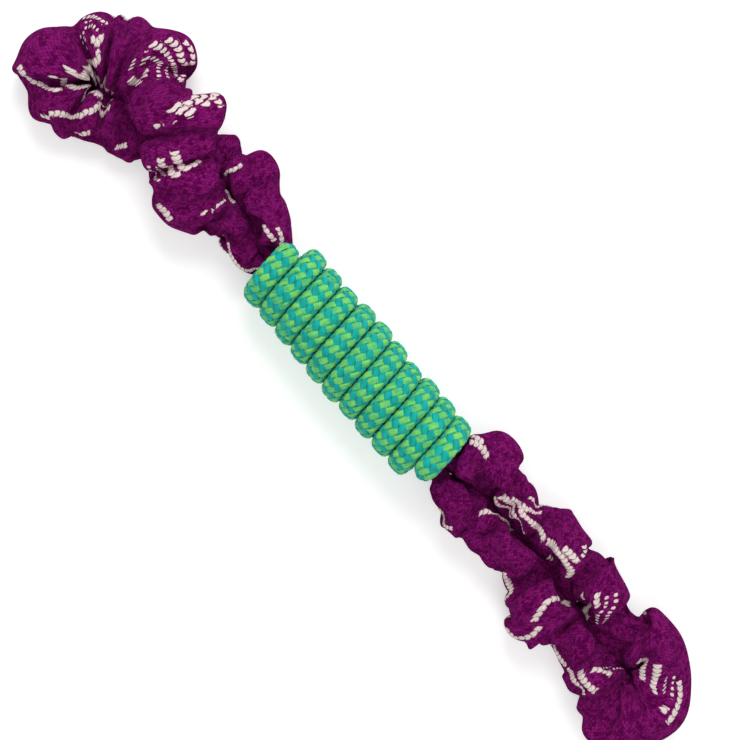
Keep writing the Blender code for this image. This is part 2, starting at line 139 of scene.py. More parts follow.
def unit(vectors):
    return vectors / np.linalg.norm(vectors, axis=-1, keepdims=True)


def angles_round(count):
    return np.arange(count) * 2 * math.pi / count


def curve_through(knots):
    """Close points on a smooth curve through the knots, column by column."""
    padded = np.array([knots[0], *knots, knots[-1]], float)
    share = np.linspace(0.0, 1.0, CURVE_STEPS, endpoint=False)[:, None]
    spans = []
    for before, first, last, after in zip(padded, padded[1:], padded[2:], padded[3:]):
        bend = before - 5 * first / 2 + 2 * last - after / 2
        twist = (3 * first - before - 3 * last + after) / 2
        spans.append(first + share / 2 * (last - before) + share**2 * bend + share**3 * twist)
    return np.vstack([*spans, padded[-1:]])


def places_along(points):
    steps = np.linalg.norm(np.diff(points, axis=0), axis=1)
    return np.concatenate([[0.0], np.cumsum(steps)])


def read_at(places, known, values):
    """Each column of values, read at other places along."""
    return np.column_stack([np.interp(places, known, column) for column in values.T])


# %% [markdown]
# ## Tubes
# Every piece of this toy is a tube of some kind: yarns, cords and the sleeve. A tube can be
# swept along a curve, or lofted through rings. Here it starts as a flat grid that Blender
# makes with its texture coordinates, like the cloth before it is sewn up. The grid's points
# are moved onto rings, and its two long edges are welded. That keeps a clean map of every
# tube, with the way round as U and the way along as V.

# %% Tube helpers
WELD = 1e-7
MAP_NAME = "weave"


def link(name, mesh, *materials):
    piece = bpy.data.objects.new(name, mesh)
    bpy.context.scene.collection.objects.link(piece)
    for material in materials:
        mesh.materials.append(material)
    return piece


def mesh_from(shell, name):
    mesh = bpy.data.meshes.new(name)
    shell.to_mesh(mesh)
    shell.free()
    return mesh


def tube_mesh(name, rings, ways_round, ways_along, closed=True):
    """A tube through rings of points. U grows by ways_round in a turn, and V is ways_along."""
    count, around = rings.shape[:2]
    shell = bmesh.new()
    shell.loops.layers.uv.new(MAP_NAME)
    bmesh.ops.create_grid(
        shell, x_segments=around, y_segments=count - 1, size=1.0, calc_uvs=True
    )
    mesh = mesh_from(shell, name)
    wrapped = np.concatenate([rings, rings[:, :1]], axis=1)
    mesh.vertices.foreach_set("co", wrapped.astype(np.float32).ravel())
    order = np.add.outer(np.arange(count) * around, np.arange(around + 1) % around)
    mesh.attributes.new("place", "INT", "POINT").data.foreach_set("value", order.ravel())
    corners = np.zeros(len(mesh.loops) * 2)
    uv = mesh.uv_layers[MAP_NAME].data
    uv.foreach_get("uv", corners)
    corners = corners.reshape(-1, 2)
    corners[:, 0] *= ways_round
    corners[:, 1] = np.interp(corners[:, 1] * (count - 1), np.arange(count), ways_along)
    uv.foreach_set("uv", corners.ravel())
    return sewn(mesh, closed)


def order_of(mesh):
    """Which point of the grid each vertex was, counted ring by ring."""
    order = np.zeros(len(mesh.vertices), int)
    mesh.attributes["place"].data.foreach_get("value", order)
    return order


def sewn(mesh, closed):
    """Welds the long seam, closes the ends if asked, and turns the faces outwards."""
    shell = bmesh.new()
    shell.from_mesh(mesh)
    bmesh.ops.remove_doubles(shell, verts=shell.verts, dist=WELD)
    rims = [edge for edge in shell.edges if edge.is_boundary]
    caps = bmesh.ops.holes_fill(shell, edges=rims, sides=0)["faces"]
    bmesh.ops.recalc_face_normals(shell, faces=shell.faces)
    if shell.calc_volume(signed=True) < 0:
        bmesh.ops.reverse_faces(shell, faces=shell.faces)
    if not closed:
        bmesh.ops.delete(shell, geom=caps, context="FACES_ONLY")
    shell.to_mesh(mesh)
    shell.free()
    mesh.shade_smooth()
    return mesh


def joined(name, meshes):
    """One mesh that holds several, so that a strand of many yarns is one piece."""
    whole = bmesh.new()
    for mesh in meshes:
        whole.from_mesh(mesh)
        bpy.data.meshes.remove(mesh)
    mesh = mesh_from(whole, name)
    mesh.shade_smooth()
    return mesh


def swept_rings(points, across, up, width, height, sides):
    """Oval rings round a line. width and height are half sizes, one or one each point."""
    angles = angles_round(sides)
    wide = np.broadcast_to(width, len(points))[:, None, None]
    high = np.broadcast_to(height, len(points))[:, None, None]
    level = np.cos(angles)[None, :, None] * wide * across[:, None, :]
    raised = np.sin(angles)[None, :, None] * high * up[:, None, :]
    return points[:, None, :] + level + raised


# %% [markdown]
# ## Effects that several materials share
# Yarns look soft because they are bundles of fine filaments, and no two stitches take the
# dye in quite the same way. Both effects are node groups, built once. Each puts out only
# numbers that change over the surface, and the shader itself stays in each material.

# %% Node helpers
def fill_inputs(tree, node, inputs):
    """Links the inputs that are given a socket, and sets the others."""
    for key, value in inputs.items():
        if isinstance(value, bpy.types.NodeSocket):
            tree.links.new(value, node.inputs[key])
        else:
            node.inputs[key].default_value = value
    return node


def add_node(tree, kind, inputs=None, **settings):
    node = tree.nodes.new(kind)
    for key, value in settings.items():
        setattr(node, key, value)
    return fill_inputs(tree, node, inputs or {})


def maths(tree, operation, *values):
    inputs = dict(enumerate(values))
    return add_node(tree, "ShaderNodeMath", inputs, operation=operation).outputs[0]


def plus(tree, first, second):
    return maths(tree, "ADD", first, second)


def less(tree, first, second):
    return maths(tree, "SUBTRACT", first, second)


def times(tree, first, second):
    return maths(tree, "MULTIPLY", first, second)


def across_cell(tree, value):
    """From -1 at one edge of each whole step of a value to 1 at the other."""
    return less(tree, times(tree, maths(tree, "FRACT", value), 2.0), 1.0)


def ranged(tree, value, low, high, to_low=0.0, to_high=1.0):
    """A smooth ramp from low to high."""
    inputs = {"Value": value, 1: low, 2: high, 3: to_low, 4: to_high}
    node = add_node(tree, "ShaderNodeMapRange", inputs, interpolation_type="SMOOTHSTEP")
    return node.outputs[0]


def mixed(tree, share, first, second):
    inputs = {0: share, 6: first, 7: second}
    return add_node(tree, "ShaderNodeMix", inputs, data_type="RGBA").outputs[2]


def noise(tree, place, scale, detail):
    inputs = {"Vector": place, "Scale": scale, "Detail": detail}
    return add_node(tree, "ShaderNodeTexNoise", inputs).outputs[0]


def bumped(tree, height, strength, distance):
    inputs = {"Height": height, "Strength": strength, "Distance": distance}
    return add_node(tree, "ShaderNodeBump", inputs).outputs[0]


def parts_of(tree, vector):
    return add_node(tree, "ShaderNodeSeparateXYZ", {0: vector}).outputs


def own_place(tree):
    return add_node(tree, "ShaderNodeTexCoord").outputs["Object"]


def map_of(tree, name):
    return add_node(tree, "ShaderNodeUVMap", uv_map=name).outputs[0]


def new_group(name, inputs, outputs):
    """An empty group with number outputs. An input without a value takes a vector."""
    tree = bpy.data.node_groups.new(name, "ShaderNodeTree")
    for title, value in inputs.items():
        kind = "NodeSocketVector" if value is None else "NodeSocketFloat"
        socket = tree.interface.new_socket(title, in_out="INPUT", socket_type=kind)
        if value is not None:
            socket.default_value = value
    for title in outputs:
        tree.interface.new_socket(title, in_out="OUTPUT", socket_type="NodeSocketFloat")
    return tree, tree.nodes.new("NodeGroupInput").outputs, tree.nodes.new("NodeGroupOutput")


def place_group(tree, group, inputs):
    return add_node(tree, "ShaderNodeGroup", inputs, node_tree=group).outputs


# %% The filaments of a yarn, as lines along it
YARN_LINES = 3.2
YARN_LINE_LENGTH = 0.35
LINES_IN_SHADE = 0.6
PATCH_SCALE = 420.0
FUZZY_RANGE = (0.3, 0.7)


def filament_group():
    """Fine lines along V, broken up and fuzzy. Lines is how many there are per unit of U."""
    inputs = {"Map": None, "Lines": YARN_LINES, "Length": YARN_LINE_LENGTH}
    tree, given, made = new_group("yarn_filaments", inputs, ("Height", "Shade"))
    parts = parts_of(tree, given["Map"])
    across = times(tree, parts[0], given["Lines"])
    along = times(tree, parts[1], given["Length"])
    streak = add_node(tree, "ShaderNodeCombineXYZ", {0: across, 1: along}).outputs[0]
    fine = noise(tree, streak, 1.0, 2.0)
    patches = noise(tree, own_place(tree), PATCH_SCALE, 3.0)
    fine_part = times(tree, fine, LINES_IN_SHADE)
    both = plus(tree, fine_part, times(tree, patches, 1 - LINES_IN_SHADE))
    height, shade = (ranged(tree, value, *FUZZY_RANGE) for value in (fine, both))
    fill_inputs(tree, made, {"Height": height, "Shade": shade})
    return tree


YARN_FILAMENTS = filament_group()
print("node group", YARN_FILAMENTS.name)

# %% [markdown]
# ## Yarn materials
# The grip's cord is braided from lime and turquoise yarns. A yarn is matt and a little
# fuzzy, so its shader is rough with some sheen, and its colour wanders between a light and
# a dark dye along the filaments.

# %% Yarn material
YARN_RELIEF = 0.00012
YARN_BUMP = 0.7
YARN_ROUGHNESS = 0.78


def new_material(name):
    material = bpy.data.materials.new(name)
    material.use_nodes = True
    return material, material.node_tree, material.node_tree.nodes["Principled BSDF"]


def yarn_material(name, dark, light, relief=YARN_RELIEF, roughness=YARN_ROUGHNESS):
    """A dyed yarn. Its map has one way round as U and thicknesses along as V."""
    material, tree, shader = new_material(name)
    out = place_group(tree, YARN_FILAMENTS, {"Map": map_of(tree, MAP_NAME)})
    finish = {
        "Base Color": mixed(tree, out["Shade"], (*dark, 1), (*light, 1)),
        "Normal": bumped(tree, out["Height"], YARN_BUMP, relief),
        "Roughness": roughness,
        "Specular IOR Level": 0.15,
        "Sheen Weight": 0.08,
        "Sheen Roughness": 0.5,
    }
    fill_inputs(tree, shader, finish)
    return material


LIME_YARN = yarn_material("lime_yarn", (0.040, 0.44, 0.20), (0.260, 0.76, 0.15))
TURQUOISE_YARN = yarn_material("turquoise_yarn", (0.002, 0.31, 0.26), (0.005, 0.50, 0.44))
# The core is coloured dark to stand for the shade down between the yarns: painted shade.
SHADED_CORE_YARN = yarn_material("core_yarn_painted_shade", (0.004, 0.10, 0.08), (0.01, 0.18, 0.13))
print("yarns:", [m.name for m in (LIME_YARN, TURQUOISE_YARN, SHADED_CORE_YARN)])

# %% [markdown]
# ## The line of the wound cord
# The grip is one thick cord wound side by side, with both ends tucked in under the turns.
# Its line is a plain helix, joined at each end to a few points that lead it inwards. A hand
# winds some turns a little proud of the others, so the radius wanders from turn to turn by
# less than the slack between them.

# %% The winding
TUCK_SHARES = (
    (0.08, -0.56, 0.46, 0.50),
    (-0.12, -0.45, 0.15, 0.15),
    (-0.52, -0.17, 0.03, 0.00),
    (-1.00, -0.01, 0.00, 0.00),
)
TUCK_TURN_SHARE = 0.08
TURN_SWELL = (
    (0, -0.0006), (1.5, -0.0008), (3, -0.0006), (4.2, 0.0006), (5.6, 0.0004),
    (6.6, -0.0012), (7.4, 0.0), (8.6, -0.0004), (10, -0.0006),
)
TURN_SWAY = (
    (0, 0.0006), (3, 0.0), (4.2, 0.0008), (6.4, 0.0), (7.6, 0.0006), (8.8, 0.0009),
    (10, 0.0006),
)


def tuck_knots():
    """Where the cord's end goes after its last turn, from the grip's axis and middle."""
    squeezed = TAIL_RADIUS / CORD_RADIUS
    rise = WINDING_RADIUS - TAIL_OFFSET
    knots = [
        (
            (TURNS / 2 + along) * PITCH,
            across * WINDING_RADIUS,
            TAIL_OFFSET + up * rise,
            squeezed + size * (1 - squeezed),
        )
        for along, across, up, size in TUCK_SHARES
    ]
    return np.array([*knots, (knots[-1][0] - TAIL_LENGTH, 0.0, TAIL_OFFSET, squeezed)])


def winding_line():
    """The wound cord's points, from one tucked end to the other, and its size at each."""
    count = round((TURNS + 2 * TUCK_TURN_SHARE) * TURN_POINTS) + 1
    turns = np.linspace(-TUCK_TURN_SHARE, TURNS + TUCK_TURN_SHARE, count)
    angles = 2 * math.pi * (turns + 0.25)
    radius = WINDING_RADIUS + np.interp(turns, *zip(*TURN_SWELL))
    helix = np.column_stack(
        [
            (turns - TURNS / 2) * PITCH,
            radius * np.cos(angles) + np.interp(turns, *zip(*TURN_SWAY)),
            radius * np.sin(angles),
            np.ones(count),
        ]
    )
    tail = tuck_knots()
    head = tail[::-1] * (-1, -1, 1, 1)
    curve = curve_through(np.vstack([head, helix, tail])) + (GRIP_MIDDLE, 0, AXIS_HEIGHT, 0)
    return curve[:, :3], curve[:, 3]


WINDING, WINDING_SIZE = winding_line()
print("wound cord:", round(places_along(WINDING)[-1], 3), "m")

# %% [markdown]
# ## The braid of the wound cord
# Sixteen carriers braid this cord: eight lime yarns run one way round it and eight
# turquoise yarns the other way, each over one and under one. Every yarn is modelled as a
# flattened tube that rises and dips as it crosses the others, because the knobbly edge of
# the real grip comes from these crossings. The same count of yarns and the same slope make
# a lime row, then a turquoise row, with each half a step round from the last. Turns that
# press on each other squeeze the cord, so the yarns run round a section with flattened
# sides and not round a circle.

# %% The braided cord
YARNS_EACH_WAY = 8
YARN_TURN = 0.0496
YARN_STEP = 0.00085
YARN_SIDES = 6
YARN_HALF_WIDTH = 0.00186
YARN_HALF_HEIGHT = 0.00078
YARN_WEAVE = 0.00050
BRAID_RADIUS = 0.00462
CORD_SQUARENESS = 3.2
CORE_RADIUS = 0.0042
CORE_SIDES = 12
RESTING_HEIGHT = 0.0002


def cord_frame(step):
    """Even stations of the wound cord, with the way out from the grip's axis."""
    known = places_along(WINDING)
    places = np.linspace(0, known[-1], round(known[-1] / step) + 1)
    points = read_at(places, known, WINDING)
    along = unit(np.gradient(points, axis=0))
    outward = points - (0, 0, AXIS_HEIGHT)
    outward[:, 0] = 0
    outward = unit(outward - (outward * along).sum(axis=1)[:, None] * along)
    return places, points, along, outward, np.interp(places, known, WINDING_SIZE)


def rested(rings):
    """The grip's turns, flattened where they rest on the floor."""
    low = rings[..., 2] < RESTING_HEIGHT
    rings[..., 2][low] = RESTING_HEIGHT
    return rings


def squeezed_section(angle, outward, side):
    """The spoke and the facing of a cord's skin, which its neighbours press nearly square."""
    up, across = np.cos(angle), np.sin(angle)
    power = CORD_SQUARENESS
    reach = (np.abs(up) ** power + np.abs(across) ** power) ** (-1 / power)
    spoke = (reach * up)[:, None] * outward + (reach * across)[:, None] * side
    up, across = (np.sign(x) * np.abs(x) ** (power - 1) for x in (up, across))
    return spoke, unit(up[:, None] * outward + across[:, None] * side)


def yarn(number, way):
    """One yarn of the braid: way is 1 or -1, for the way that it runs round the cord."""
    places, points, along, outward, size = cord_frame(YARN_STEP)
    side = np.cross(along, outward)
    angle = 2 * math.pi * (number / YARNS_EACH_WAY + way * places / YARN_TURN)
    spoke, facing = squeezed_section(angle, outward, side)
    crossing = YARN_TURN / (2 * YARNS_EACH_WAY)
    lift = way * YARN_WEAVE * np.cos(math.pi * places / crossing)
    centre = points + size[:, None] * (BRAID_RADIUS * spoke + lift[:, None] * facing)
    course = unit(np.gradient(centre, axis=0))
    flat = unit(np.cross(facing, course))
    width, height = YARN_HALF_WIDTH * size, YARN_HALF_HEIGHT * size
    rings = swept_rings(centre, flat, np.cross(course, flat), width, height, YARN_SIDES)
    return tube_mesh("yarn", rested(rings), 1.0, places_along(centre) / (2 * YARN_HALF_WIDTH))


def braid(name, way, material):
    yarns = [yarn(number, way) for number in range(YARNS_EACH_WAY)]
    return link(name, joined(name, yarns), material)


def cord_core():
    """The filling that shows between the yarns, painted dark as the shade down between them."""
    places, points, along, outward, size = cord_frame(3 * YARN_STEP)
    side = np.cross(along, outward)
    radius = CORE_RADIUS * size
    rings = swept_rings(points, side, outward, radius, radius, CORE_SIDES)
    mesh = tube_mesh("grip_cord_core", rested(rings), CORE_SIDES, places / CORE_RADIUS)
    return link("grip_cord_core", mesh, SHADED_CORE_YARN)


LIME_BRAID = braid("grip_braid_lime", 1, LIME_YARN)
TURQUOISE_BRAID = braid("grip_braid_turquoise", -1, TURQUOISE_YARN)
GRIP_CORE = cord_core()
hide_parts("grip_cord")
for piece in (LIME_BRAID, TURQUOISE_BRAID, GRIP_CORE):
    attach(piece, "grip")
print("the braid has", len(LIME_BRAID.data.polygons), "faces of each colour")

# %% [markdown]
# ## The line of each loop
# Outside the grip the sleeve runs out along one strand, round a bend, and back along the
# other strand. Each loop's line goes through a few points: how far out of the grip's mouth,
# how far across, how high, and how flat the sleeve lies there, all as shares of the toy's
# own sizes. They are the CAD model's points, so the elastic cord lies where its solids are.

# %% Loop lines
LOOP_SHARES = {
    "a": (
        (0.110, -0.130, 1.00, 0.80),
        (0.250, -0.200, 1.10, 0.74),
        (0.385, -0.020, 1.40, 0.66),
        (0.520, 0.240, 1.36, 0.66),
        (0.655, 0.400, 1.00, 0.74),
        (0.760, 0.325, 0.84, 0.74),
        (0.841, 0.096, 0.80, 0.74),
        (0.866, -0.265, 0.80, 0.74),
        (0.820, -0.600, 0.80, 0.74),
        (0.730, -0.675, 0.78, 0.72),
        (0.640, -0.506, 0.70, 0.68),
        (0.553, -0.325, 0.60, 0.62),
        (0.474, -0.096, 0.52, 0.60),
        (0.390, 0.170, 0.52, 0.62),
        (0.308, 0.360, 0.60, 0.66),
        (0.218, 0.446, 0.76, 0.72),
        (0.119, 0.400, 0.92, 0.80),
    ),
    "b": (
        (0.100, -0.170, 1.00, 0.80),
        (0.220, -0.170, 0.88, 0.76),
        (0.330, -0.150, 0.82, 0.76),
        (0.450, -0.190, 0.80, 0.74),
        (0.570, -0.240, 0.80, 0.74),
        (0.680, -0.270, 0.80, 0.74),
        (0.800, -0.340, 0.80, 0.74),
        (0.865, -0.200, 0.82, 0.74),
        (0.893, 0.070, 0.82, 0.74),
        (0.865, 0.350, 0.82, 0.74),
        (0.800, 0.470, 0.82, 0.74),
        (0.670, 0.330, 0.80, 0.74),
        (0.580, 0.400, 0.80, 0.74),
        (0.425, 0.440, 0.80, 0.74),
        (0.280, 0.430, 0.84, 0.76),
        (0.110, 0.400, 0.96, 0.80),
    ),
}


class Line:
    """A loop's line, with its direction, sides and flatness at each place along."""

    def __init__(self, places, points, flat, along):
        self.places, self.points, self.flat = places, points, flat
        self.along = unit(along)
        self.side = unit(np.cross((0.0, 0.0, 1.0), self.along))
        self.up = np.cross(self.along, self.side)

    def at(self, places):
        return Line(
            places,
            read_at(places, self.places, self.points),
            np.interp(places, self.places, self.flat),
            read_at(places, self.places, self.along),
        )


def loop_line(end):
    way, reach = DIRECTIONS[end], REACHES[end]
    straight = [GRIP_MIDDLE + way * x for x in (RUN_END, GRIP_HALF, GRIP_HALF + MOUTH_DEPTH)]
    outward = [(x, -RUN_SIDE, RUN_HEIGHT, 1.0) for x in straight]
    inward = [(x, RUN_SIDE, RUN_HEIGHT, 1.0) for x in reversed(straight)]
    between = [
        (MOUTHS[end] + way * out * reach, across * LOOP_HALF_WIDTH, up * RUN_HEIGHT, flat)
        for out, across, up, flat in LOOP_SHARES[end]
    ]
    curve = curve_through([*outward, *between, *inward])
    points, places = curve[:, :3], places_along(curve[:, :3])
    return Line(places, points, curve[:, 3], np.gradient(points, places, axis=0))


LINES = {end: loop_line(end) for end in "ab"}
for end, line in LINES.items():
    print(f"loop {end}: {line.places[-1]:.4f} m of elastic cord between the mouths")

# %% [markdown]
# ## Where the folds are
# The sleeve is a tube of cloth that is much longer than the elastic cord, so it bunches into
# folds all the way. Where the photograph shows a lobe, a row here says how far along the
# loop it is, how far it stands out on its left and right, how wide it is, and how it slants.
# Between two folds the cloth is drawn in to a narrow neck.
#
# The lobes alone would give a regular outline. So a second table says how many millimetres
# the toy's outer side stands out from the elastic cord, at every fiftieth of the loop, and 0
# where other cloth hides it. The outer side of the folds is stretched to meet that. Which
# side is the outer one changes where the strands cross, and the inner sides get a skirt low
# down, where the cloth of the two strands meets.

# %% Folds
FOLD_REACH = 0.0200
FOLD_ROOT = 0.0066
ROOT_LEAN = 0.0016
FOLD_WIDTH = 0.0100
FLARE_LENGTH = 0.0080
FOLD_ROUNDNESS = 2.6
FOLD_SHARPNESS = 8.0
INNER_SKIRT = 0.0085
SKIRT_RISES = 0.35
FOLDS = {
    "a": (
        (0.055, 0.38, 0.75, 2.10, 0.1),
        (0.136, 0.98, 0.85, 0.80, 0.1),
        (0.180, 1.05, 0.95, 0.85, 0.1),
        (0.225, 1.00, 1.00, 0.75, 0.2),
        (0.278, 1.00, 1.42, 1.25, 0.3),
        (0.345, 1.10, 1.20, 1.15, 0.0),
        (0.398, 1.10, 0.98, 0.70, 0.0),
        (0.440, 1.10, 0.86, 0.62, 0.0),
        (0.497, 1.25, 1.08, 1.15, 0.0),
        (0.560, 1.10, 0.78, 0.75, 0.0),
        (0.606, 1.00, 0.52, 0.60, 0.0),
        (0.668, 1.00, 0.52, 1.10, 0.0),
        (0.740, 0.95, 0.85, 0.95, 0.0),
        (0.796, 0.98, 0.92, 0.80, 0.0),
        (0.856, 0.74, 0.90, 0.95, 0.0),
        (0.930, 0.60, 0.85, 1.40, 0.0),
    ),
    "b": (
        (0.025, 0.80, 0.50, 0.70, 0.0),
        (0.085, 1.00, 0.68, 1.20, 0.2),
        (0.165, 1.00, 0.56, 1.20, 0.0),
        (0.268, 1.05, 1.14, 1.15, 0.2),
        (0.338, 1.00, 0.48, 0.85, 0.0),
        (0.388, 1.10, 0.84, 0.85, 0.0),
        (0.465, 1.30, 0.98, 1.90, 0.0),
        (0.560, 1.20, 0.90, 1.45, 0.0),
        (0.680, 1.05, 0.80, 1.20, 0.0),
        (0.772, 1.05, 0.84, 1.40, 0.0),
        (0.840, 1.00, 0.46, 0.70, 0.0),
        (0.908, 1.05, 0.78, 1.25, -0.2),
        (0.972, 0.90, 0.62, 0.70, 0.0),
    ),
}
OUTLINES = {
    "a": (
        8.3, 6.3, 4.6, 4.2, 4.2, 8.2, 18.1, 21.2, 17.8, 0.0,
        0.0, 0.0, 0.0, 0.0, 9.9, 13.1, 21.3, 26.3, 18.3, 19.8,
        17.5, 18.0, 13.5, 13.9, 21.8, 22.2, 13.5, 14.8, 9.0, 9.2,
        5.0, 4.2, 5.7, 6.7, 4.2, 0.0, 0.0, 0.0, 0.0, 17.5,
        17.0, 13.7, 17.1, 16.2, 10.7, 6.5, 10.7, 10.7, 12.5,
    ),
    "b": (
        10.0, 7.0, 10.0, 13.5, 12.5, 10.5, 9.0, 10.0, 9.0, 7.0,
        12.5, 19.0, 23.5, 22.0, 14.0, 9.0, 7.5, 11.0, 17.0, 15.0,
        16.0, 19.5, 19.0, 19.0, 18.5, 15.5, 13.0, 14.0, 15.5, 9.0,
        5.0, 10.0, 16.0, 18.5, 17.0, 12.0, 12.0, 16.0, 16.5, 15.0,
        10.5, 8.0, 7.5, 10.5, 14.0, 17.5, 16.5, 15.0, 14.0,
    ),
}
LEFT_IS_INNER = {
    "a": ((0.0, -1.0), (0.20, -1.0), (0.27, 1.0), (0.73, 1.0), (0.80, -1.0), (1.0, -1.0)),
    "b": ((0.0, 1.0), (1.0, 1.0)),
}


def smooth_step(share):
    share = np.clip(share, 0.0, 1.0)
    return share * share * (3 - 2 * share)


def fold_radii(places, length, angles, end):
    """How far the cloth stands out from the line, at each place and angle round."""
    total = np.zeros((len(places), len(angles)))
    lean = np.interp(places / length, *zip(*LEFT_IS_INNER[end]))[:, None] * np.cos(angles)
    skirt = smooth_step(lean) * smooth_step((SKIRT_RISES - np.sin(angles)) / (2 * SKIRT_RISES))
    root = FOLD_ROOT + ROOT_LEAN * lean + INNER_SKIRT * skirt
    for where, left, right, width, slant in FOLDS[end]:
        leftward = (1 + np.cos(angles)) / 2
        crest = (left * leftward + right * (1 - leftward)) * FOLD_REACH
        half = width * FOLD_WIDTH
        offset = (places[:, None] - where * length - slant * half * np.cos(angles)) / half
        pillow = (1 - np.abs(offset) ** FOLD_ROUNDNESS).clip(0) ** (1 / FOLD_ROUNDNESS)
        total += ((crest - root).clip(0) * pillow) ** FOLD_SHARPNESS
    radii = root + total ** (1 / FOLD_SHARPNESS)
    radii *= 1 + smooth_step(-lean) * (outline_share(places / length, radii, end) - 1)
    return RUN_RADIUS + mouth_flare(places, length) * (radii - RUN_RADIUS)


def outline_share(shares, radii, end):
    """What the outer side is stretched by, to stand out as far as the photograph's outline."""
    known = np.array(OUTLINES[end]) / 1000
    steps = np.arange(1, len(known) + 1) / (len(known) + 1)
    outline = np.interp(shares, steps[known > 0], known[known > 0])
    gap = np.interp(shares, steps, known == 0)
    left_is_inner = np.interp(shares, *zip(*LEFT_IS_INNER[end]))
    opposite = radii.shape[1] // 2
    outer = np.where(left_is_inner < 0, radii[:, 0], radii[:, opposite])
    return (gap + (1 - gap) * outline / outer)[:, None]


def mouth_flare(places, length):
    """0 in the grip, where the cloth is drawn tight, and 1 a little way out of it."""
    out = np.minimum(places, length - places) - MOUTH_DEPTH
    return smooth_step(out / FLARE_LENGTH)[:, None]


# %% [markdown]
# ## The cloth before and after it is gathered
# Real gathers come from pushing a long tube of cloth along a shorter cord. The simulation
# does the same. It starts with each ring of cloth spread out along a longer line, and then
# draws the narrow necks between the folds to their places. Nobody says what the cloth
# between them does: it has to buckle, and that is what makes its wrinkles look real. A few
# shallow puckers round the tube decide where it starts to buckle.

# %% The cloth tube
CLOTH_POINTS_ROUND = 34
CLOTH_CELL = 0.0034
CLOTH_SLACK = 1.6
STEEPEST = 9.0
PUCKERS = ((5, 0.0036, 1.6), (8, 0.0012, 2.0))
PUCKER_KNOTS = 26
PUCKER_SEEDS = {"a": 3, "b": 5}
PUCKER_FADE = 0.0080
PUCKER_LEAST = 0.25
ARC_STEPS = 2400
HELD_AT_MOUTHS = 3
THINNEST = 0.0042
FLOOR_ROOM = 0.0008


def evenly_cut(end):
    """Places along the loop that are evenly spaced on the cloth, and the cloth's length."""
    length = LINES[end].places[-1]
    angles = angles_round(CLOTH_POINTS_ROUND)
    fine = np.linspace(0, length, ARC_STEPS)
    slope = np.gradient(fold_radii(fine, length, angles, end), fine, axis=0)
    arc = np.sqrt(CLOTH_SLACK**2 + np.minimum(slope**2, STEEPEST)).mean(axis=1)
    cloth = np.concatenate([[0], np.cumsum((arc[1:] + arc[:-1]) / 2 * np.diff(fine))])
    count = round(cloth[-1] / CLOTH_CELL)
    return np.interp(np.linspace(0, cloth[-1], count), cloth, fine), cloth[-1]


def strand_room(line, directions, whole):
    """How far each point round a ring may go before it meets the other strand."""
    apart = whole.points[None, :, :] - line.points[:, None, :]
    squared = (apart**2).sum(axis=2)[:, None, :]
    facing = np.einsum("sak,sqk->saq", directions, apart)
    reach = np.where(facing > CLEARANCE, squared / (2 * facing.clip(CLEARANCE)), np.inf)
    return reach.min(axis=2)


def floor_reach(line, directions):
    down = -directions[:, :, 2]
    height = line.points[:, 2][:, None]
    return np.where(down > 0, height / np.where(down > 0, down, 1), np.inf) - FLOOR_ROOM


def puckered(places, angles, radii, end):
    """Shallow waves round the tube, deepest in the necks, from a fixed seed."""
    length = LINES[end].places[-1]
    random = np.random.default_rng(PUCKER_SEEDS[end])
    knots = np.linspace(0, length, PUCKER_KNOTS)
    wave = np.zeros_like(radii)
    for count, height, wander in PUCKERS:
        phase = np.cumsum(random.uniform(-wander, wander, PUCKER_KNOTS))
        wave += height * np.cos(count * angles[None] + np.interp(places, knots, phase)[:, None])
    depth = smooth_step(1 - (radii - FOLD_ROOT) / PUCKER_FADE)
    deepened = PUCKER_LEAST + (1 - PUCKER_LEAST) * depth
    return radii + mouth_flare(places, length) * wave * deepened


def cloth_shapes(end):
    """Rings of the loose tube and of the drawn-in one, and which rings are held."""
    whole = LINES[end]
    places, length = evenly_cut(end)
    line = whole.at(places)
    angles = angles_round(CLOTH_POINTS_ROUND)
    crests = fold_radii(places, whole.places[-1], angles, end)
    radii = puckered(places, angles, crests, end)
    level = (radii * np.cos(angles))[:, :, None] * line.side[:, None, :]
    height = (radii * np.sin(angles) * line.flat[:, None])[:, :, None]
    spokes = level + height * line.up[:, None, :]
    reach = np.linalg.norm(spokes, axis=2)
    directions = spokes / reach[:, :, None]
    free = np.maximum(strand_room(line, directions, whole), THINNEST)
    free = np.minimum(free, floor_reach(line, directions))
    spokes = directions * np.minimum(reach, free)[:, :, None]
    mouth = (whole.points[0] + whole.points[-1]) / 2
    drawn = line.points[:, None, :] + spokes
    loose = (mouth + CLOTH_SLACK * (line.points - mouth))[:, None, :] + spokes
    mean = crests.mean(axis=1)
    held = np.zeros(len(places), bool)
    held[1:-1] = (mean[1:-1] <= mean[:-2]) & (mean[1:-1] < mean[2:])
    held[:HELD_AT_MOUTHS] = held[-HELD_AT_MOUTHS:] = True
    return places, length, loose, drawn, held


CLOTHS = {end: cloth_shapes(end) for end in "ab"}
for end, (places, length, *_) in CLOTHS.items():
    print(f"sleeve {end}: {length:.3f} m of cloth in {len(places)} rings")

# %% [markdown]
# ## Gathering the cloth
# Blender's cloth works best on things about as big as a person, so the tube is simulated
# ten times too large, with gravity off, because the toy's shape comes from its stiffness.
# Bending is stiff, as this is a thick woolly weave that makes a few big lobes and not many
# small creases. The rings in the necks are pinned, and a shape key draws them in.

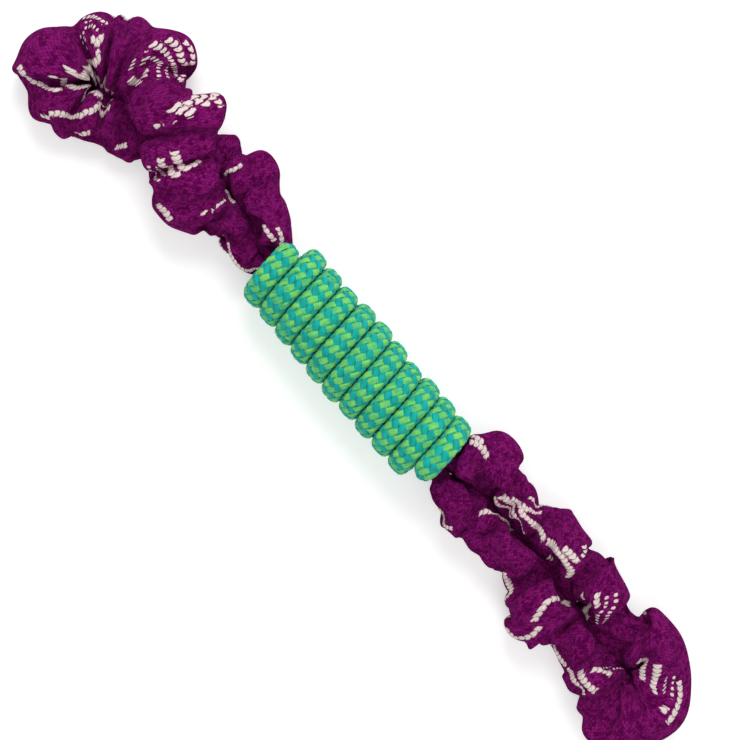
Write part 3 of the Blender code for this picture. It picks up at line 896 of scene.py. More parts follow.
# %% Cloth simulation
CLOTH_SCALE = 10.0
DRAWN_BY_FRAME = 14
LAST_FRAME = 22
WOOLLY_CLOTH = {
    "quality": 5,
    "mass": 0.05,
    "tension_stiffness": 80.0,
    "compression_stiffness": 80.0,
    "shear_stiffness": 20.0,
    "bending_model": "ANGULAR",
    "bending_stiffness": 45.0,
    "tension_damping": 2,
    "compression_damping": 2,
    "shear_damping": 2,
    "bending_damping": 0.5,
    "air_damping": 1.0,
    "vertex_group_mass": "held",
}
CLOTH_TOUCHES = {
    "use_collision": False,
    "use_self_collision": True,
    "self_distance_min": 0.012,
    "self_friction": 2,
    "collision_quality": 1,
}
OWN_REACH = 0.040
MOST_SLIDE = 0.0020


def hanging_cloth(end, loose, drawn, held):
    """The loose tube with its cloth settings."""
    name = f"cloth_{end}"
    mesh = tube_mesh(name, loose * CLOTH_SCALE, 1.0, np.arange(len(loose)), closed=False)
    piece = link(name, mesh)
    order = order_of(mesh)
    piece.shape_key_add(name="Loose")
    key = piece.shape_key_add(name="Drawn in")
    key.data.foreach_set("co", (drawn.reshape(-1, 3)[order] * CLOTH_SCALE).ravel())
    key.value = 0.0
    key.keyframe_insert("value", frame=1)
    key.value = 1.0
    key.keyframe_insert("value", frame=DRAWN_BY_FRAME)
    pinned = piece.vertex_groups.new(name="held")
    pinned.add([int(i) for i in np.flatnonzero(held[order // loose.shape[1]])], 1.0, "REPLACE")
    cloth = piece.modifiers.new("cloth", "CLOTH")
    for settings, values in (
        (cloth.settings, WOOLLY_CLOTH), (cloth.collision_settings, CLOTH_TOUCHES)
    ):
        for key, value in values.items():
            setattr(settings, key, value)
    cloth.settings.effector_weights.gravity = 0.0
    cloth.point_cache.frame_start = 1
    cloth.point_cache.frame_end = LAST_FRAME
    return piece


def settled(piece, shape):
    """The simulated cloth's rings, back at the toy's own size."""
    graph = bpy.context.evaluated_depsgraph_get()
    mesh = bpy.data.meshes.new_from_object(piece.evaluated_get(graph))
    points = np.zeros(len(mesh.vertices) * 3)
    mesh.vertices.foreach_get("co", points)
    rings = np.empty((shape[0] * shape[1], 3))
    rings[order_of(mesh)] = points.reshape(-1, 3) / CLOTH_SCALE
    bpy.data.objects.remove(piece)
    bpy.data.meshes.remove(mesh)
    return rings.reshape(shape)


def gather(cloths):
    """Simulates every cloth tube in one run, and returns their rings."""
    pieces = {end: hanging_cloth(end, *cloth[2:]) for end, cloth in cloths.items()}
    scene = bpy.context.scene
    scene.frame_start, scene.frame_end = 1, LAST_FRAME
    for frame_number in range(1, LAST_FRAME + 1):
        scene.frame_set(frame_number)
    rings = {end: settled(piece, cloths[end][2].shape) for end, piece in pieces.items()}
    scene.frame_set(1)
    return rings


def ring_places(end, rings):
    """The place along the line that is nearest to each ring's middle."""
    known = CLOTHS[end][0]
    shares = (np.linspace(0, 1, len(points)) for points in (rings, known))
    own = np.interp(*shares, known)
    line = LINES[end]
    away = np.linalg.norm(rings.mean(axis=1)[:, None] - line.points[None], axis=2)
    away += np.abs(line.places[None] - own[:, None]) > OWN_REACH
    return line.places[np.argmin(away, axis=1)]


def centred(end, rings):
    """Brings back each ring that has slid off the elastic cord."""
    places, _, _, drawn, _ = CLOTHS[end]
    line = LINES[end].at(ring_places(end, rings))
    offset = rings.mean(axis=1) - line.points
    meant = drawn.mean(axis=1) - LINES[end].at(places).points
    excess = offset - meant
    excess -= (excess * line.along).sum(axis=1)[:, None] * line.along
    size = np.linalg.norm(excess, axis=1)[:, None]
    return rings - (excess * (1 - MOST_SLIDE / size.clip(MOST_SLIDE)))[:, None]


GATHERED = {end: centred(end, rings) for end, rings in gather(CLOTHS).items()}
print("gathered:", {end: rings.shape for end, rings in GATHERED.items()})

# %% [markdown]
# ## Smoothing the gathered cloth
# The simulated mesh is coarse. A subdivision surface would smooth it, and the same smooth
# surface can be read straight from the rings, because they form a regular net. Doing it
# here lets the whole loop be smoothed first and cut into pieces afterwards, so that two
# pieces that meet share their edge exactly.
#
# Four things are then put right. The inner sides of the two strands are pushed together low
# down, where they meet on the real toy. Sharp points are taken off. Cloth that the
# simulation left in the elastic cord is lifted out of it, and the lowest cloth is pressed
# flat just above the floor.

# %% Fine rings
FINER = 4
FLOOR_HEIGHT = 0.0012
FLOOR_SOFTNESS = 0.0015
LOW_HEIGHT = 0.0022
LOW_SOFTNESS = 0.0050
MOST_PRESSED = 0.0240
MOST_STRETCH = 3.6
PRESSED_WINDOW = 9
PRESSED_OVER = 0.0020
SOFTENINGS = 9
CLEARING_POWER = 4
NO_DISTANCE = 1e-5
FREE_HEIGHT = 20


def spline_weights(share):
    return (
        (1 - share) ** 3 / 6,
        (3 * share**3 - 6 * share**2 + 4) / 6,
        (-3 * share**3 + 3 * share**2 + 3 * share + 1) / 6,
        share**3 / 6,
    )


def finer_round(rings):
    """More points round each ring, on a smooth closed spline."""
    rows = []
    for step in range(FINER):
        weights = spline_weights(step / FINER)
        rows.append(sum(w * np.roll(rings, 1 - k, axis=1) for k, w in enumerate(weights)))
    return np.stack(rows, axis=2).reshape(len(rings), -1, 3)


def finer_along(rings):
    """More rings, on smooth splines that end at the first and last ring."""
    first = 2 * rings[:1] - rings[1:2]
    last = 2 * rings[-1:] - rings[-2:-1]
    padded = np.concatenate([first, rings, last, last])
    count = len(rings)
    rows = []
    for step in range(FINER):
        weights = spline_weights(step / FINER)
        rows.append(sum(w * padded[k : k + count] for k, w in enumerate(weights)))
    fine = np.stack(rows, axis=1).reshape(-1, *rings.shape[1:])
    return fine[: (count - 1) * FINER + 1]


def pressed_together(end, rings):
    """The low inner side of each strand, pushed across until it meets the other strand."""
    places = ring_places(end, rings)
    line = LINES[end].at(places)
    inner = np.interp(places / LINES[end].places[-1], *zip(*LEFT_IS_INNER[end]))[:, None]
    way = unit(line.side * np.where(inner < 0, -1, 1))
    room = strand_room(line, way[:, None, :], LINES[end])[:, 0] + PRESSED_OVER
    room = room.clip(0, MOST_PRESSED)
    across = ((rings - line.points[:, None]) * way[:, None]).sum(axis=2)
    height = rings[..., 2] - line.points[:, None, 2]
    low = smooth_step((LOW_HEIGHT - height) / LOW_SOFTNESS)
    reach = (across * low).max(axis=1).clip(THINNEST)
    share = (room / reach).clip(1, MOST_STRETCH)
    window = np.ones(PRESSED_WINDOW) / PRESSED_WINDOW
    share = np.convolve(np.pad(share, PRESSED_WINDOW // 2, mode="edge"), window, mode="valid")
    flare = mouth_flare(places, LINES[end].places[-1])
    grown = across.clip(0) * (share[:, None] - 1) * low * flare
    return rings + grown[:, :, None] * way[:, None]


def clear_of_elastic(end, rings):
    """Cloth is kept outside the elastic cord, with a soft change where it meets it."""
    points = rings.reshape(-1, 3).astype(np.float32)
    line = LINES[end].points.astype(np.float32)
    squared = (line**2).sum(axis=1)[None] - 2 * points @ line.T
    nearest = LINES[end].points[np.argmin(squared, axis=1)]
    spoke = rings.reshape(-1, 3) - nearest
    away = np.linalg.norm(spoke, axis=1)[:, None]
    kept = (away**CLEARING_POWER + THINNEST**CLEARING_POWER) ** (1 / CLEARING_POWER)
    return (nearest + spoke * kept / away.clip(NO_DISTANCE)).reshape(rings.shape)


def above_floor(rings):
    """Cloth near the floor is pressed flat, with a soft change from free to pressed."""
    height = (rings[..., 2] - FLOOR_HEIGHT) / FLOOR_SOFTNESS
    pressed = np.log1p(np.exp(np.minimum(height, FREE_HEIGHT)))
    soft = np.where(height > FREE_HEIGHT, height, pressed)
    rings[..., 2] = FLOOR_HEIGHT + FLOOR_SOFTNESS * soft
    return rings


def softened(rings):
    """Takes off sharp points, as thick wool does, and leaves the first and last ring alone."""
    for _ in range(SOFTENINGS):
        rings = (np.roll(rings, 1, axis=1) + 2 * rings + np.roll(rings, -1, axis=1)) / 4
        rings[1:-1] = (rings[:-2] + 2 * rings[1:-1] + rings[2:]) / 4
    return rings


def finished_rings(end):
    rings = finer_along(finer_round(GATHERED[end]))
    rings = softened(pressed_together(end, rings))
    return above_floor(clear_of_elastic(end, rings))


FINE = {end: finished_rings(end) for end in "ab"}
for end, rings in FINE.items():
    lowest = rings[..., 2].min() * 1000
    print(f"sleeve {end}: {rings.shape[0]} x {rings.shape[1]} points, lowest {lowest:.2f} mm")

# %% [markdown]
# ## The sleeve's weave
# The sleeve is woven from a woolly purple yarn in short diagonal stitches. Pale tracer
# yarns run through it: ropes of slanting stitches that touch, rows of stitches that stand
# apart, and rows of small dots. The weave goes by a map that counts wales round the tube and
# stitches along it, so that it follows every fold. The tracers have a map of their own, in
# wales across each row and stitches along it. Each kind of row has its place on that map.

# %% Stitches as node groups
WALES = 28
STITCH_LENGTH = 0.0027
STITCH_POWERS = (2.5, 3.0)
ROPE_HALF_WIDTH = 0.50
ROPE_HALF_LENGTH = 1.02
ROPE_SLANT = 0.70
ROW_HALF_WIDTH = 0.50
ROW_HALF_LENGTH = 0.80
DOT_HALF_WIDTH = 0.30
DOT_HALF_LENGTH = 0.62
WEAVE_END_DIP = 0.7
SPECK_SHARE = 0.22
CLOUD_SHARE = 0.38
FUZZ_SHARE = 0.40
CLOUD_SCALE = 260.0
FUZZ_SCALE = 1100.0


def stitch_group():
    """One row of stitches along V. Inside is above 0 within a stitch and 1 at its middle."""
    titles = ("Across", "Along", "Middle", "Half Width", "Half Length", "Slant")
    tree, given, made = new_group("stitch_row", dict.fromkeys(titles, 0.5), ("Inside",))
    offset = less(tree, given["Across"], given["Middle"])
    along = plus(tree, given["Along"], times(tree, offset, given["Slant"]))
    offsets = (offset, across_cell(tree, along))
    reached = []
    for value, half, power in zip(offsets, ("Half Width", "Half Length"), STITCH_POWERS):
        share = maths(tree, "DIVIDE", maths(tree, "ABSOLUTE", value), given[half])
        reached.append(maths(tree, "POWER", share, power))
    inside = less(tree, 1.0, plus(tree, *reached))
    fill_inputs(tree, made, {"Inside": maths(tree, "MAXIMUM", inside, 0.0)})
    return tree


def weave_group():
    """A diagonal weave of short stitches, each over one and under one."""
    inputs = {"Map": None, "Stitches": 1.5}
    tree, given, made = new_group("woolly_weave", inputs, ("Height", "Shade"))
    parts = parts_of(tree, given["Map"])
    both = (join(tree, parts[0], parts[1]) for join in (plus, less))
    both = [times(tree, value, given["Stitches"]) for value in both]
    whole = [maths(tree, "FLOOR", value) for value in both]
    odd = maths(tree, "FLOORED_MODULO", plus(tree, *whole), 2.0)
    shares = [across_cell(tree, value) for value in both]
    squares = [times(tree, share, share) for share in shares]
    ridges = []
    for across, along in (squares, squares[::-1]):
        end = less(tree, 1.0, times(tree, times(tree, along, along), WEAVE_END_DIP))
        ridges.append(times(tree, less(tree, 1.0, across), end))
    inputs = {0: odd, 2: ridges[0], 3: ridges[1]}
    height = add_node(tree, "ShaderNodeMix", inputs, data_type="FLOAT").outputs[0]
    cell = add_node(tree, "ShaderNodeCombineXYZ", {0: whole[0], 1: whole[1]}).outputs[0]
    speck = add_node(tree, "ShaderNodeTexWhiteNoise", {"Vector": cell}, noise_dimensions="3D")
    place = own_place(tree)
    shade = 0.0
    # The specks and clouds are dye that differs at random. The fine fuzz noise is also a painted
    # highlight on the wool's fuzz.
    for value, weight in (
        (speck.outputs["Value"], SPECK_SHARE),
        (noise(tree, place, CLOUD_SCALE, 4.0), CLOUD_SHARE),
        (noise(tree, place, FUZZ_SCALE, 2.0), FUZZ_SHARE),
    ):
        shade = maths(tree, "MULTIPLY_ADD", value, weight, shade)
    fill_inputs(tree, made, {"Height": height, "Shade": shade})
    return tree


STITCH_ROW = stitch_group()
WOOLLY_WEAVE = weave_group()
print("node groups", STITCH_ROW.name, WOOLLY_WEAVE.name)

# %% [markdown]
# ## The sleeve's material
# The purple is the colour of the dyed yarn. It wanders at random between a darker and a
# lighter dye, and its lighter end also stands for a painted highlight on its fuzz. Down
# between the stitches it is painted darker, as shade. The tracers are a warm cream, with
# painted shade round the rim of each stitch. One mask from the stitch rows chooses between
# the two, and the same rows raise the surface.

# %% Sleeve material
TRACER_MAP = "tracers"
TRACER_SHOWN = "tracer_shown"
ROPES = (20.0, 80.0, 82.0)
STITCH_ROWS = (40.0,)
DOTS = (60.6,)
TRACER_SIZES = (
    (ROPES, ROPE_HALF_WIDTH, ROPE_HALF_LENGTH, ROPE_SLANT),
    (STITCH_ROWS, ROW_HALF_WIDTH, ROW_HALF_LENGTH, ROPE_SLANT),
    (DOTS, DOT_HALF_WIDTH, DOT_HALF_LENGTH, 0.0),
)
# The dark purple is both a darker dye and the painted shade in the grooves between stitches. The
# light purple is both a lighter dye and a painted highlight on the fuzz.
PURPLE_DARK_DYE_AND_SHADE = (0.092, 0.0004, 0.054, 1)
PURPLE_LIGHT_DYE_AND_HIGHLIGHT = (0.270, 0.0110, 0.175, 1)
SHEEN_TINT = (0.80, 0.18, 0.60, 1)
CREAM = (0.930, 0.800, 0.760, 1)
# The darker cream is painted shade round the rim of each cream stitch.
CREAM_SHADE = (0.560, 0.340, 0.360, 1)
SHOWN_RANGE = (0.4, 0.6)
# The first ramp mixes random dye with a painted highlight on the fuzz. The second paints shade
# into the grooves between the stitches.
DYE_AND_HIGHLIGHT_RANGE = (0.34, 0.66)
GROOVE_SHADE_RANGE = (0.0, 0.5, 0.75, 0.0)
CREAM_RANGE = (0.05, 0.7)
TRACER_RANGE = (0.02, 0.14)
TRACER_BUMP = 0.9
WEAVE_BUMP = 0.9
FUZZ_BUMP = 0.8
CLOTH_BUMP = (0.8, 0.0006)


def tracer_mask(tree):
    """Above 0 within the stitches of every tracer row."""
    across, along, _ = parts_of(tree, map_of(tree, TRACER_MAP))
    total = 0.0
    for middles, half_width, half_length, slant in TRACER_SIZES:
        for middle in middles:
            inputs = {
                "Across": across,
                "Along": along,
                "Middle": middle,
                "Half Width": half_width,
                "Half Length": half_length,
                "Slant": slant,
            }
            total = maths(tree, "MAXIMUM", place_group(tree, STITCH_ROW, inputs)[0], total)
    shown = add_node(tree, "ShaderNodeAttribute", attribute_name=TRACER_SHOWN).outputs["Fac"]
    return times(tree, total, ranged(tree, shown, *SHOWN_RANGE))


def sleeve_material():
    material, tree, shader = new_material("purple_sleeve")
    tracer = tracer_mask(tree)
    inputs = {"Map": map_of(tree, MAP_NAME), "Stitches": 1.5}
    weave = place_group(tree, WOOLLY_WEAVE, inputs)
    # Random dye tone with a painted highlight on the fuzz, then painted shade down in the
    # grooves between stitches.
    wool = mixed(tree, ranged(tree, weave["Shade"], *DYE_AND_HIGHLIGHT_RANGE), PURPLE_DARK_DYE_AND_SHADE, PURPLE_LIGHT_DYE_AND_HIGHLIGHT)
    wool = mixed(tree, ranged(tree, weave["Height"], *GROOVE_SHADE_RANGE), wool, PURPLE_DARK_DYE_AND_SHADE)
    # Each cream stitch is painted darker round its rim, as shade.
    pale = mixed(tree, ranged(tree, tracer, *CREAM_RANGE), CREAM_SHADE, CREAM)
    height = times(tree, weave["Height"], WEAVE_BUMP)
    height = maths(tree, "MULTIPLY_ADD", tracer, TRACER_BUMP, height)
    height = maths(tree, "MULTIPLY_ADD", weave["Shade"], FUZZ_BUMP, height)
    finish = {
        "Base Color": mixed(tree, ranged(tree, tracer, *TRACER_RANGE), wool, pale),
        "Normal": bumped(tree, height, *CLOTH_BUMP),
        "Roughness": 0.9,
        "Specular IOR Level": 0.0,
        "Sheen Weight": 0.06,
        "Sheen Roughness": 0.6,
        "Sheen Tint": SHEEN_TINT,
    }
    fill_inputs(tree, shader, finish)
    return material


PURPLE_SLEEVE = sleeve_material()
print("material", PURPLE_SLEEVE.name)

# %% [markdown]
# ## Where the sleeve is cut into pieces
# A piece of cloth may bend across one joint only, and each end of the toy has three: it
# swings, it lifts and it stretches. So each strand is cut across three times. Its mouth runs
# from the grip to the neck, its shoulder from the neck to the strand, and its folds from the
# strand to the bend, which just moves out. Only the bend, which lies on the loop alone, is
# attached to it. The other pieces run between two bodies and are left where they are, with
# their placing baked into the mesh. The mouth and the shoulder are each about 25 mm long,
# because a thick sleeve that bent over less would be pushed into the grip. Each cut is made at
# a narrow neck between folds where there is one close by, so that it doesn't show.

# %% Cut places
SHOULDER_STARTS = 0.0250
SHOULDER_ENDS = 0.0500
HELD_BONUS = 0.006
UNCUT_AT_MOUTHS = 4
FAR_AWAY = 1
CLOTH_WALL = 0.0011


def outward_of(end, points):
    return DIRECTIONS[end] * (points[..., 0] - MOUTHS[end])


def ring_to_cut(end, half, out):
    """The ring of one strand at this far out of the mouth, or a held ring close to it."""
    places, _, _, _, held = CLOTHS[end]
    away = np.abs(outward_of(end, LINES[end].at(places).points) - out)
    middle = len(places) // 2
    away[middle:] += FAR_AWAY * (half == "front")
    away[:middle] += FAR_AWAY * (half == "back")
    away[:UNCUT_AT_MOUTHS] = away[-UNCUT_AT_MOUTHS:] = FAR_AWAY
    return int(np.argmin(away - np.where(held, HELD_BONUS, 0)))


def cut_rings(end):
    bend = REACHES[end] - BEND_LENGTHS[end]
    outs = (SHOULDER_STARTS, SHOULDER_ENDS, bend)
    front = [ring_to_cut(end, "front", out) for out in outs]
    back = [ring_to_cut(end, "back", out) for out in reversed(outs)]
    return [0, *front, *back, len(CLOTHS[end][0]) - 1]


CUTS = {end: cut_rings(end) for end in "ab"}
PARTS = (
    ("mouth", "front", "grip", "neck"),
    ("shoulder", "front", "neck", "strand"),
    ("folds", "front", "strand", "loop"),
    ("bend", "", "loop", "loop"),
    ("folds", "back", "loop", "strand"),
    ("shoulder", "back", "strand", "neck"),
    ("mouth", "back", "neck", "grip"),
)
STANDS_FOR = {"mouth": "neck", "folds": "strand", "bend": "loop"}
print("cut at rings", CUTS)


def part_name(stem, part, end, half):
    return "_".join(word for word in (stem, part, end, half) if word)


def body_of_end(name, end):
    return name if name == "grip" else f"{name}_{end}"


def bent_between(piece, end, bodies, first_ring, last_ring):
    """Attaches a piece to its body when both its ends lie on one, and otherwise leaves it where
    it is, with its placing baked into its mesh.
    """
    if bodies[0] == bodies[1]:
        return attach(piece, body_of_end(bodies[0], end))
    order = ("grip", "neck", "strand", "loop")
    inner, outer = sorted(bodies, key=order.index)
    inner, outer = (body_of_end(name, end) for name in (inner, outer))
    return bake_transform(piece)


# %% [markdown]
# ## The sleeve's pieces
# Each piece takes its rings from the smoothed loop and its map from the same counts of
# wales and stitches, so the weave runs on across the cuts. The folds hide most of the
# tracers, and what shows of them are short runs that come and go. So each run is given
# as a line on the cloth: pairs of how far along the sleeve, in thousandths, and how far
# round it, in hundredths of a turn. The loop below finds for each point of the cloth the
# nearest such line, and writes its place on the tracers' map. The ropes and rows are also
# raised in the mesh. A Solidify modifier gives the cloth its thickness, inwards, so the
# outside stays put.

# %% Sleeve pieces
TRACER_KINDS = {
    "rope": (20.0, 0.5), "row": (40.0, 0.5), "dots": (60.0, 0.9), "triple": (80.0, 2.5)
}
TRACER_WALE = 0.0030
TRACER_GIRTH = 0.0750
TRACER_MARGIN = 0.35
TRACER_REACH = 6.0
TRACER_STEPS = 4
ROPE_RELIEF = 0.0004
RELIEF_HALF_WIDTH = 1.3 * ROPE_HALF_WIDTH
TRACERS = {
    "a": (
        ("triple", 40, 80, 200, 72, 400, 80, 600, 70, 800, 78, 960, 74),
        ("row", 349, 43, 343, 46, 332, 47),
        ("row", 355, 37, 345, 39, 336, 40, 331, 45),
        ("row", 359, 32, 350, 33, 333, 35, 319, 42, 295, 34),
        ("dots", 356, 26, 352, 29, 345, 32, 326, 33, 309, 29),
        ("row", 277, 48, 272, 47, 265, 44),
        ("row", 264, 32, 264, 35, 263, 38, 258, 40),
        ("row", 268, 35, 267, 38, 266, 41, 263, 44, 257, 45),
        ("row", 266, 28, 261, 29, 257, 32, 254, 33),
        ("row", 267, 29, 264, 31, 261, 32, 257, 34),
        ("dots", 261, 25, 260, 26, 257, 29),
        ("row", 258, 20, 258, 24),
        ("rope", 216, 24, 210, 24, 184, 25, 181, 29, 185, 35),
        ("rope", 213, 18, 206, 17, 181, 20, 178, 24),
        ("dots", 210, 13, 196, 8, 179, 16),
        ("rope", 850, 33, 860, 27, 863, 21),
        ("rope", 127, 57, 106, 55, 93, 50),
        ("rope", 124, 31, 123, 33, 116, 51),
        ("rope", 129, 25, 126, 26),
        ("rope", 157, 6, 147, 10, 138, 10),
        ("rope", 61, 4, 44, 8, 35, 9, 24, 10, 8, 24),
        ("rope", 946, 30, 951, 26, 956, 21),
        ("rope", 944, 21, 955, 16, 985, 12),
        ("rope", 516, 39, 518, 37, 524, 36, 535, 37, 538, 33, 542, 29, 552, 24, 554, 21),
        ("rope", 520, 25, 520, 23, 532, 18, 554, 17, 564, 14, 573, 10),
        ("rope", 503, 21, 507, 20, 508, 18, 511, 15, 510, 12, 476, 10),
        ("rope", 504, 20, 508, 18, 508, 15, 482, 12),
        ("rope", 492, 15, 473, 13, 436, 17, 436, 21),
        ("rope", 573, 8, 610, 9, 616, 11),
        ("rope", 475, 5, 431, 1, 401, 1, 380, -1),
        ("rope", 569, 32, 573, 29, 581, 27, 606, 24, 610, 21, 616, 18, 621, 14, 647, 12),
        ("rope", 441, 26, 438, 25, 435, 24, 432, 27, 432, 28),
        ("rope", 612, 42, 617, 33, 623, 29),
        ("rope", 669, 31, 685, 28),
        ("rope", 566, 38, 572, 34),
        ("row", 453, 45, 445, 43, 438, 38, 432, 35, 428, 35),
        ("dots", 452, 36, 442, 36, 434, 31),
        ("dots", 455, 32, 453, 26, 448, 23),
        ("rope", 434, 53, 418, 50, 401, 53),
        ("row", 319, 21, 325, 24, 325, 25),
        ("row", 335, 18, 326, 17, 316, 18),
        ("dots", 357, 26, 346, 23),
        ("rope", 470, 0, 474, 7, 472, 13),
        ("rope", 545, 2, 552, 8, 548, 13),
        ("rope", 590, 0, 588, 6, 592, 11),
        ("rope", 610, 10, 620, 9, 647, 4),
    ),
    "b": (
        ("triple", 40, 80, 200, 72, 400, 80, 600, 70, 800, 78, 960, 74),
        ("rope", 951, 39, 945, 38, 939, 36, 932, 31),
        ("rope", 949, 44, 943, 41, 939, 38),
        ("rope", 850, 32, 843, 36, 835, 39, 828, 42, 818, 41),
        ("rope", 846, 24, 840, 25, 836, 29, 823, 32),
        ("rope", 866, 21, 847, 23, 840, 21, 831, 22, 821, 22, 801, 21, 795, 18),
        ("rope", 100, 21, 112, 12, 130, 4, 161, -6),
        ("rope", 876, 17, 876, 20, 866, 19, 849, 17, 840, 16, 827, 12, 817, 12),
        ("rope", 880, 14, 862, 13, 845, 12, 838, 12, 831, 12, 824, 11),
        ("rope", 792, 19, 776, 21, 763, 22, 754, 21, 744, 20, 734, 17),
        ("rope", 769, 25, 763, 26, 756, 26, 750, 26),
        ("row", 760, 35, 754, 33, 753, 29),
        ("row", 763, 95, 757, 97),
        ("dots", 780, 15, 765, 10),
        (
            "rope", 185, 38, 202, 38, 218, 40, 228, 49, 265, 50, 272, 44, 281, 44, 285, 40,
            286, 35, 283, 30,
        ),
        ("rope", 276, 31, 270, 27, 266, 23, 267, 18, 278, -1, 285, 5),
        ("rope", 695, 18, 690, 15, 657, -5, 644, 2),
        ("rope", 680, 26, 676, 24, 669, 23),
        ("dots", 672, 32, 664, 29, 661, 26, 656, 22, 642, 18),
        ("rope", 358, 38, 381, 34, 400, 35),
        ("rope", 372, 29, 390, 29, 401, 27),
        ("rope", 382, 24, 387, 20, 392, 18, 398, 18),
        ("dots", 387, 18, 397, 10, 406, 6),
        ("rope", 567, 15, 526, 14, 512, 15),
        ("rope", 535, 21, 525, 21, 512, 21, 506, 24),
        ("dots", 522, 24, 510, 24, 504, 26),
        ("dots", 526, 27, 515, 28, 506, 28),
        ("rope", 522, 33, 512, 36, 500, 34, 490, 34),
        ("rope", 494, 28, 499, 29),
        ("rope", 317, 42, 339, 45, 352, 43),
        ("rope", 58, 52, 76, 46, 84, 36),
    ),
}


def outward_normals(rings):
    """Normals of the whole smooth sleeve, so that a cut between two pieces doesn't show."""
    normals = np.cross(
        np.roll(rings, -1, axis=1) - np.roll(rings, 1, axis=1), np.gradient(rings, axis=0)
    )
    outward = ((rings - rings.mean(axis=1, keepdims=True)) * normals).sum()
    return unit(normals) * np.sign(outward)


def tracer_places(end):
    """The tracer map at each point of a sleeve, and 1 where a tracer is near."""
    count, around = FINE[end].shape[:2]
    along = np.linspace(0, CLOTHS[end][1], count)
    across = np.arange(around)[None] / around * TRACER_GIRTH
    nearest = np.full((count, around), TRACER_REACH * TRACER_WALE)
    values = np.zeros((count, around, 3))
    for kind, *course in TRACERS[end]:
        middle, half = TRACER_KINDS[kind]
        knots = np.array(course).reshape(-1, 2) / (1000, 100)
        line = curve_through(knots)[:: CURVE_STEPS // TRACER_STEPS]
        line = line * (CLOTHS[end][1], TRACER_GIRTH)
        arc = places_along(line)
        for start, stop, before in zip(line, line[1:], arc):
            reach = nearest.max()
            span = (min(start[0], stop[0]) - reach, max(start[0], stop[0]) + reach)
            rows = slice(*np.searchsorted(along, span))
            size = np.linalg.norm(stop - start)
            way = (stop - start) / size
            ring = along[rows, None] - start[0]
            level = (across - start[1] + TRACER_GIRTH / 2) % TRACER_GIRTH - TRACER_GIRTH / 2
            ahead = ring * way[0] + level * way[1]
            aside = np.abs(level * way[0] - ring * way[1])
            away = np.hypot(aside, ahead - ahead.clip(0, size))
            better = away < nearest[rows]
            place = before + ahead
            near = (place >= 0) & (place <= arc[-1])
            near &= aside < (half + TRACER_MARGIN) * TRACER_WALE
            wales = middle + aside / TRACER_WALE
            found = np.stack([wales, place / STITCH_LENGTH, near], axis=2)
            values[rows] = np.where(better[:, :, None], found, values[rows])
            nearest[rows] = np.where(better, away, nearest[rows])
    return values


def raised_tracers(end, places):
    """The ropes stand a little proud of the cloth."""
    away = np.abs(places[:, :, :1] - (*ROPES, *STITCH_ROWS)).min(axis=2)
    swell = ROPE_RELIEF * (1 - (away / RELIEF_HALF_WIDTH) ** 2).clip(0) * places[:, :, 2]
    return FINE[end] + swell[:, :, None] * outward_normals(FINE[end])


TRACER_PLACES = {end: tracer_places(end) for end in "ab"}
FINE = {end: raised_tracers(end, TRACER_PLACES[end]) for end in "ab"}
print("tracers:", {end: len(rows) for end, rows in TRACERS.items()})


def cloth_map(end):
    """Stitches along the sleeve, at each of its fine rings."""
    return np.linspace(0, CLOTHS[end][1] / STITCH_LENGTH, len(FINE[end]))


def girth_of(rings):
    return float(np.linalg.norm(rings - np.roll(rings, 1, axis=1), axis=2).sum(axis=1).mean())


NORMALS = {end: outward_normals(rings) for end, rings in FINE.items()}


def shaded_as_whole(mesh, normals):
    normals = normals.reshape(-1, 3)[order_of(mesh)]
    mesh.normals_split_custom_set_from_vertices(normals.tolist())


def with_tracers(mesh, places):
    """Gives a sleeve mesh its second map, and the mask of where tracers are."""
    values = places.reshape(-1, 3)[order_of(mesh)]
    corner = np.zeros(len(mesh.loops), int)
    mesh.loops.foreach_get("vertex_index", corner)
    mesh.uv_layers.new(name=TRACER_MAP).data.foreach_set("uv", values[corner, :2].ravel())
    shown = mesh.attributes.new(TRACER_SHOWN, "FLOAT", "POINT")
    shown.data.foreach_set("value", values[:, 2].copy())


def fitted(piece, end, number, stem):
    """Attaches a cut piece to its body where it lies on one, and hides the CAD node it stands
    for.

    A shoulder stands for none, because it lies on two of them.
    """
    part, half, *bodies = PARTS[number]
    ends = [FINE[end][cut * FINER] for cut in CUTS[end][number : number + 2]]
    bent_between(piece, end, bodies, *ends)
    if part in STANDS_FOR:
        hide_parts(part_name(stem, STANDS_FOR[part], end, half))
    return piece


def walled(piece, thickness):
    """Gives a piece of cloth its thickness, inwards."""
    wall = piece.modifiers.new("cloth wall", "SOLIDIFY")
    wall.thickness = thickness
    wall.offset = -1.0


def sleeve_piece(end, number):
    part, half = PARTS[number][:2]
    first, last = (cut * FINER for cut in CUTS[end][number : number + 2])
    span = slice(first, last + 1)
    rings = FINE[end][span]
    mesh = tube_mesh("sleeve", rings, WALES, cloth_map(end)[span], closed=False)
    with_tracers(mesh, TRACER_PLACES[end][span])
    shaded_as_whole(mesh, NORMALS[end][span])
    piece = link(part_name("cloth", part, end, half), mesh, PURPLE_SLEEVE)
    walled(piece, CLOTH_WALL)
    fitted(piece, end, number, "sleeve")
    return piece


SLEEVES = [sleeve_piece(end, number) for end in "ab" for number in range(len(PARTS))]
girths = {end: round(girth_of(rings) * 1000, 1) for end, rings in FINE.items()}
print(len(SLEEVES), "sleeve pieces; mean girths in mm:", girths)

# %% [markdown]
# ## The elastic cord
# The cord that gives the toy its stretch is rubber strands in a braided white cover. It
# only shows down in the creases or when a loop is pulled open, but it is there, cut at the
# same places as the sleeve.

# %% Elastic cord
ELASTIC_SIDES = 14
ELASTIC_STEP = 0.0020
COVER_YARNS = 12
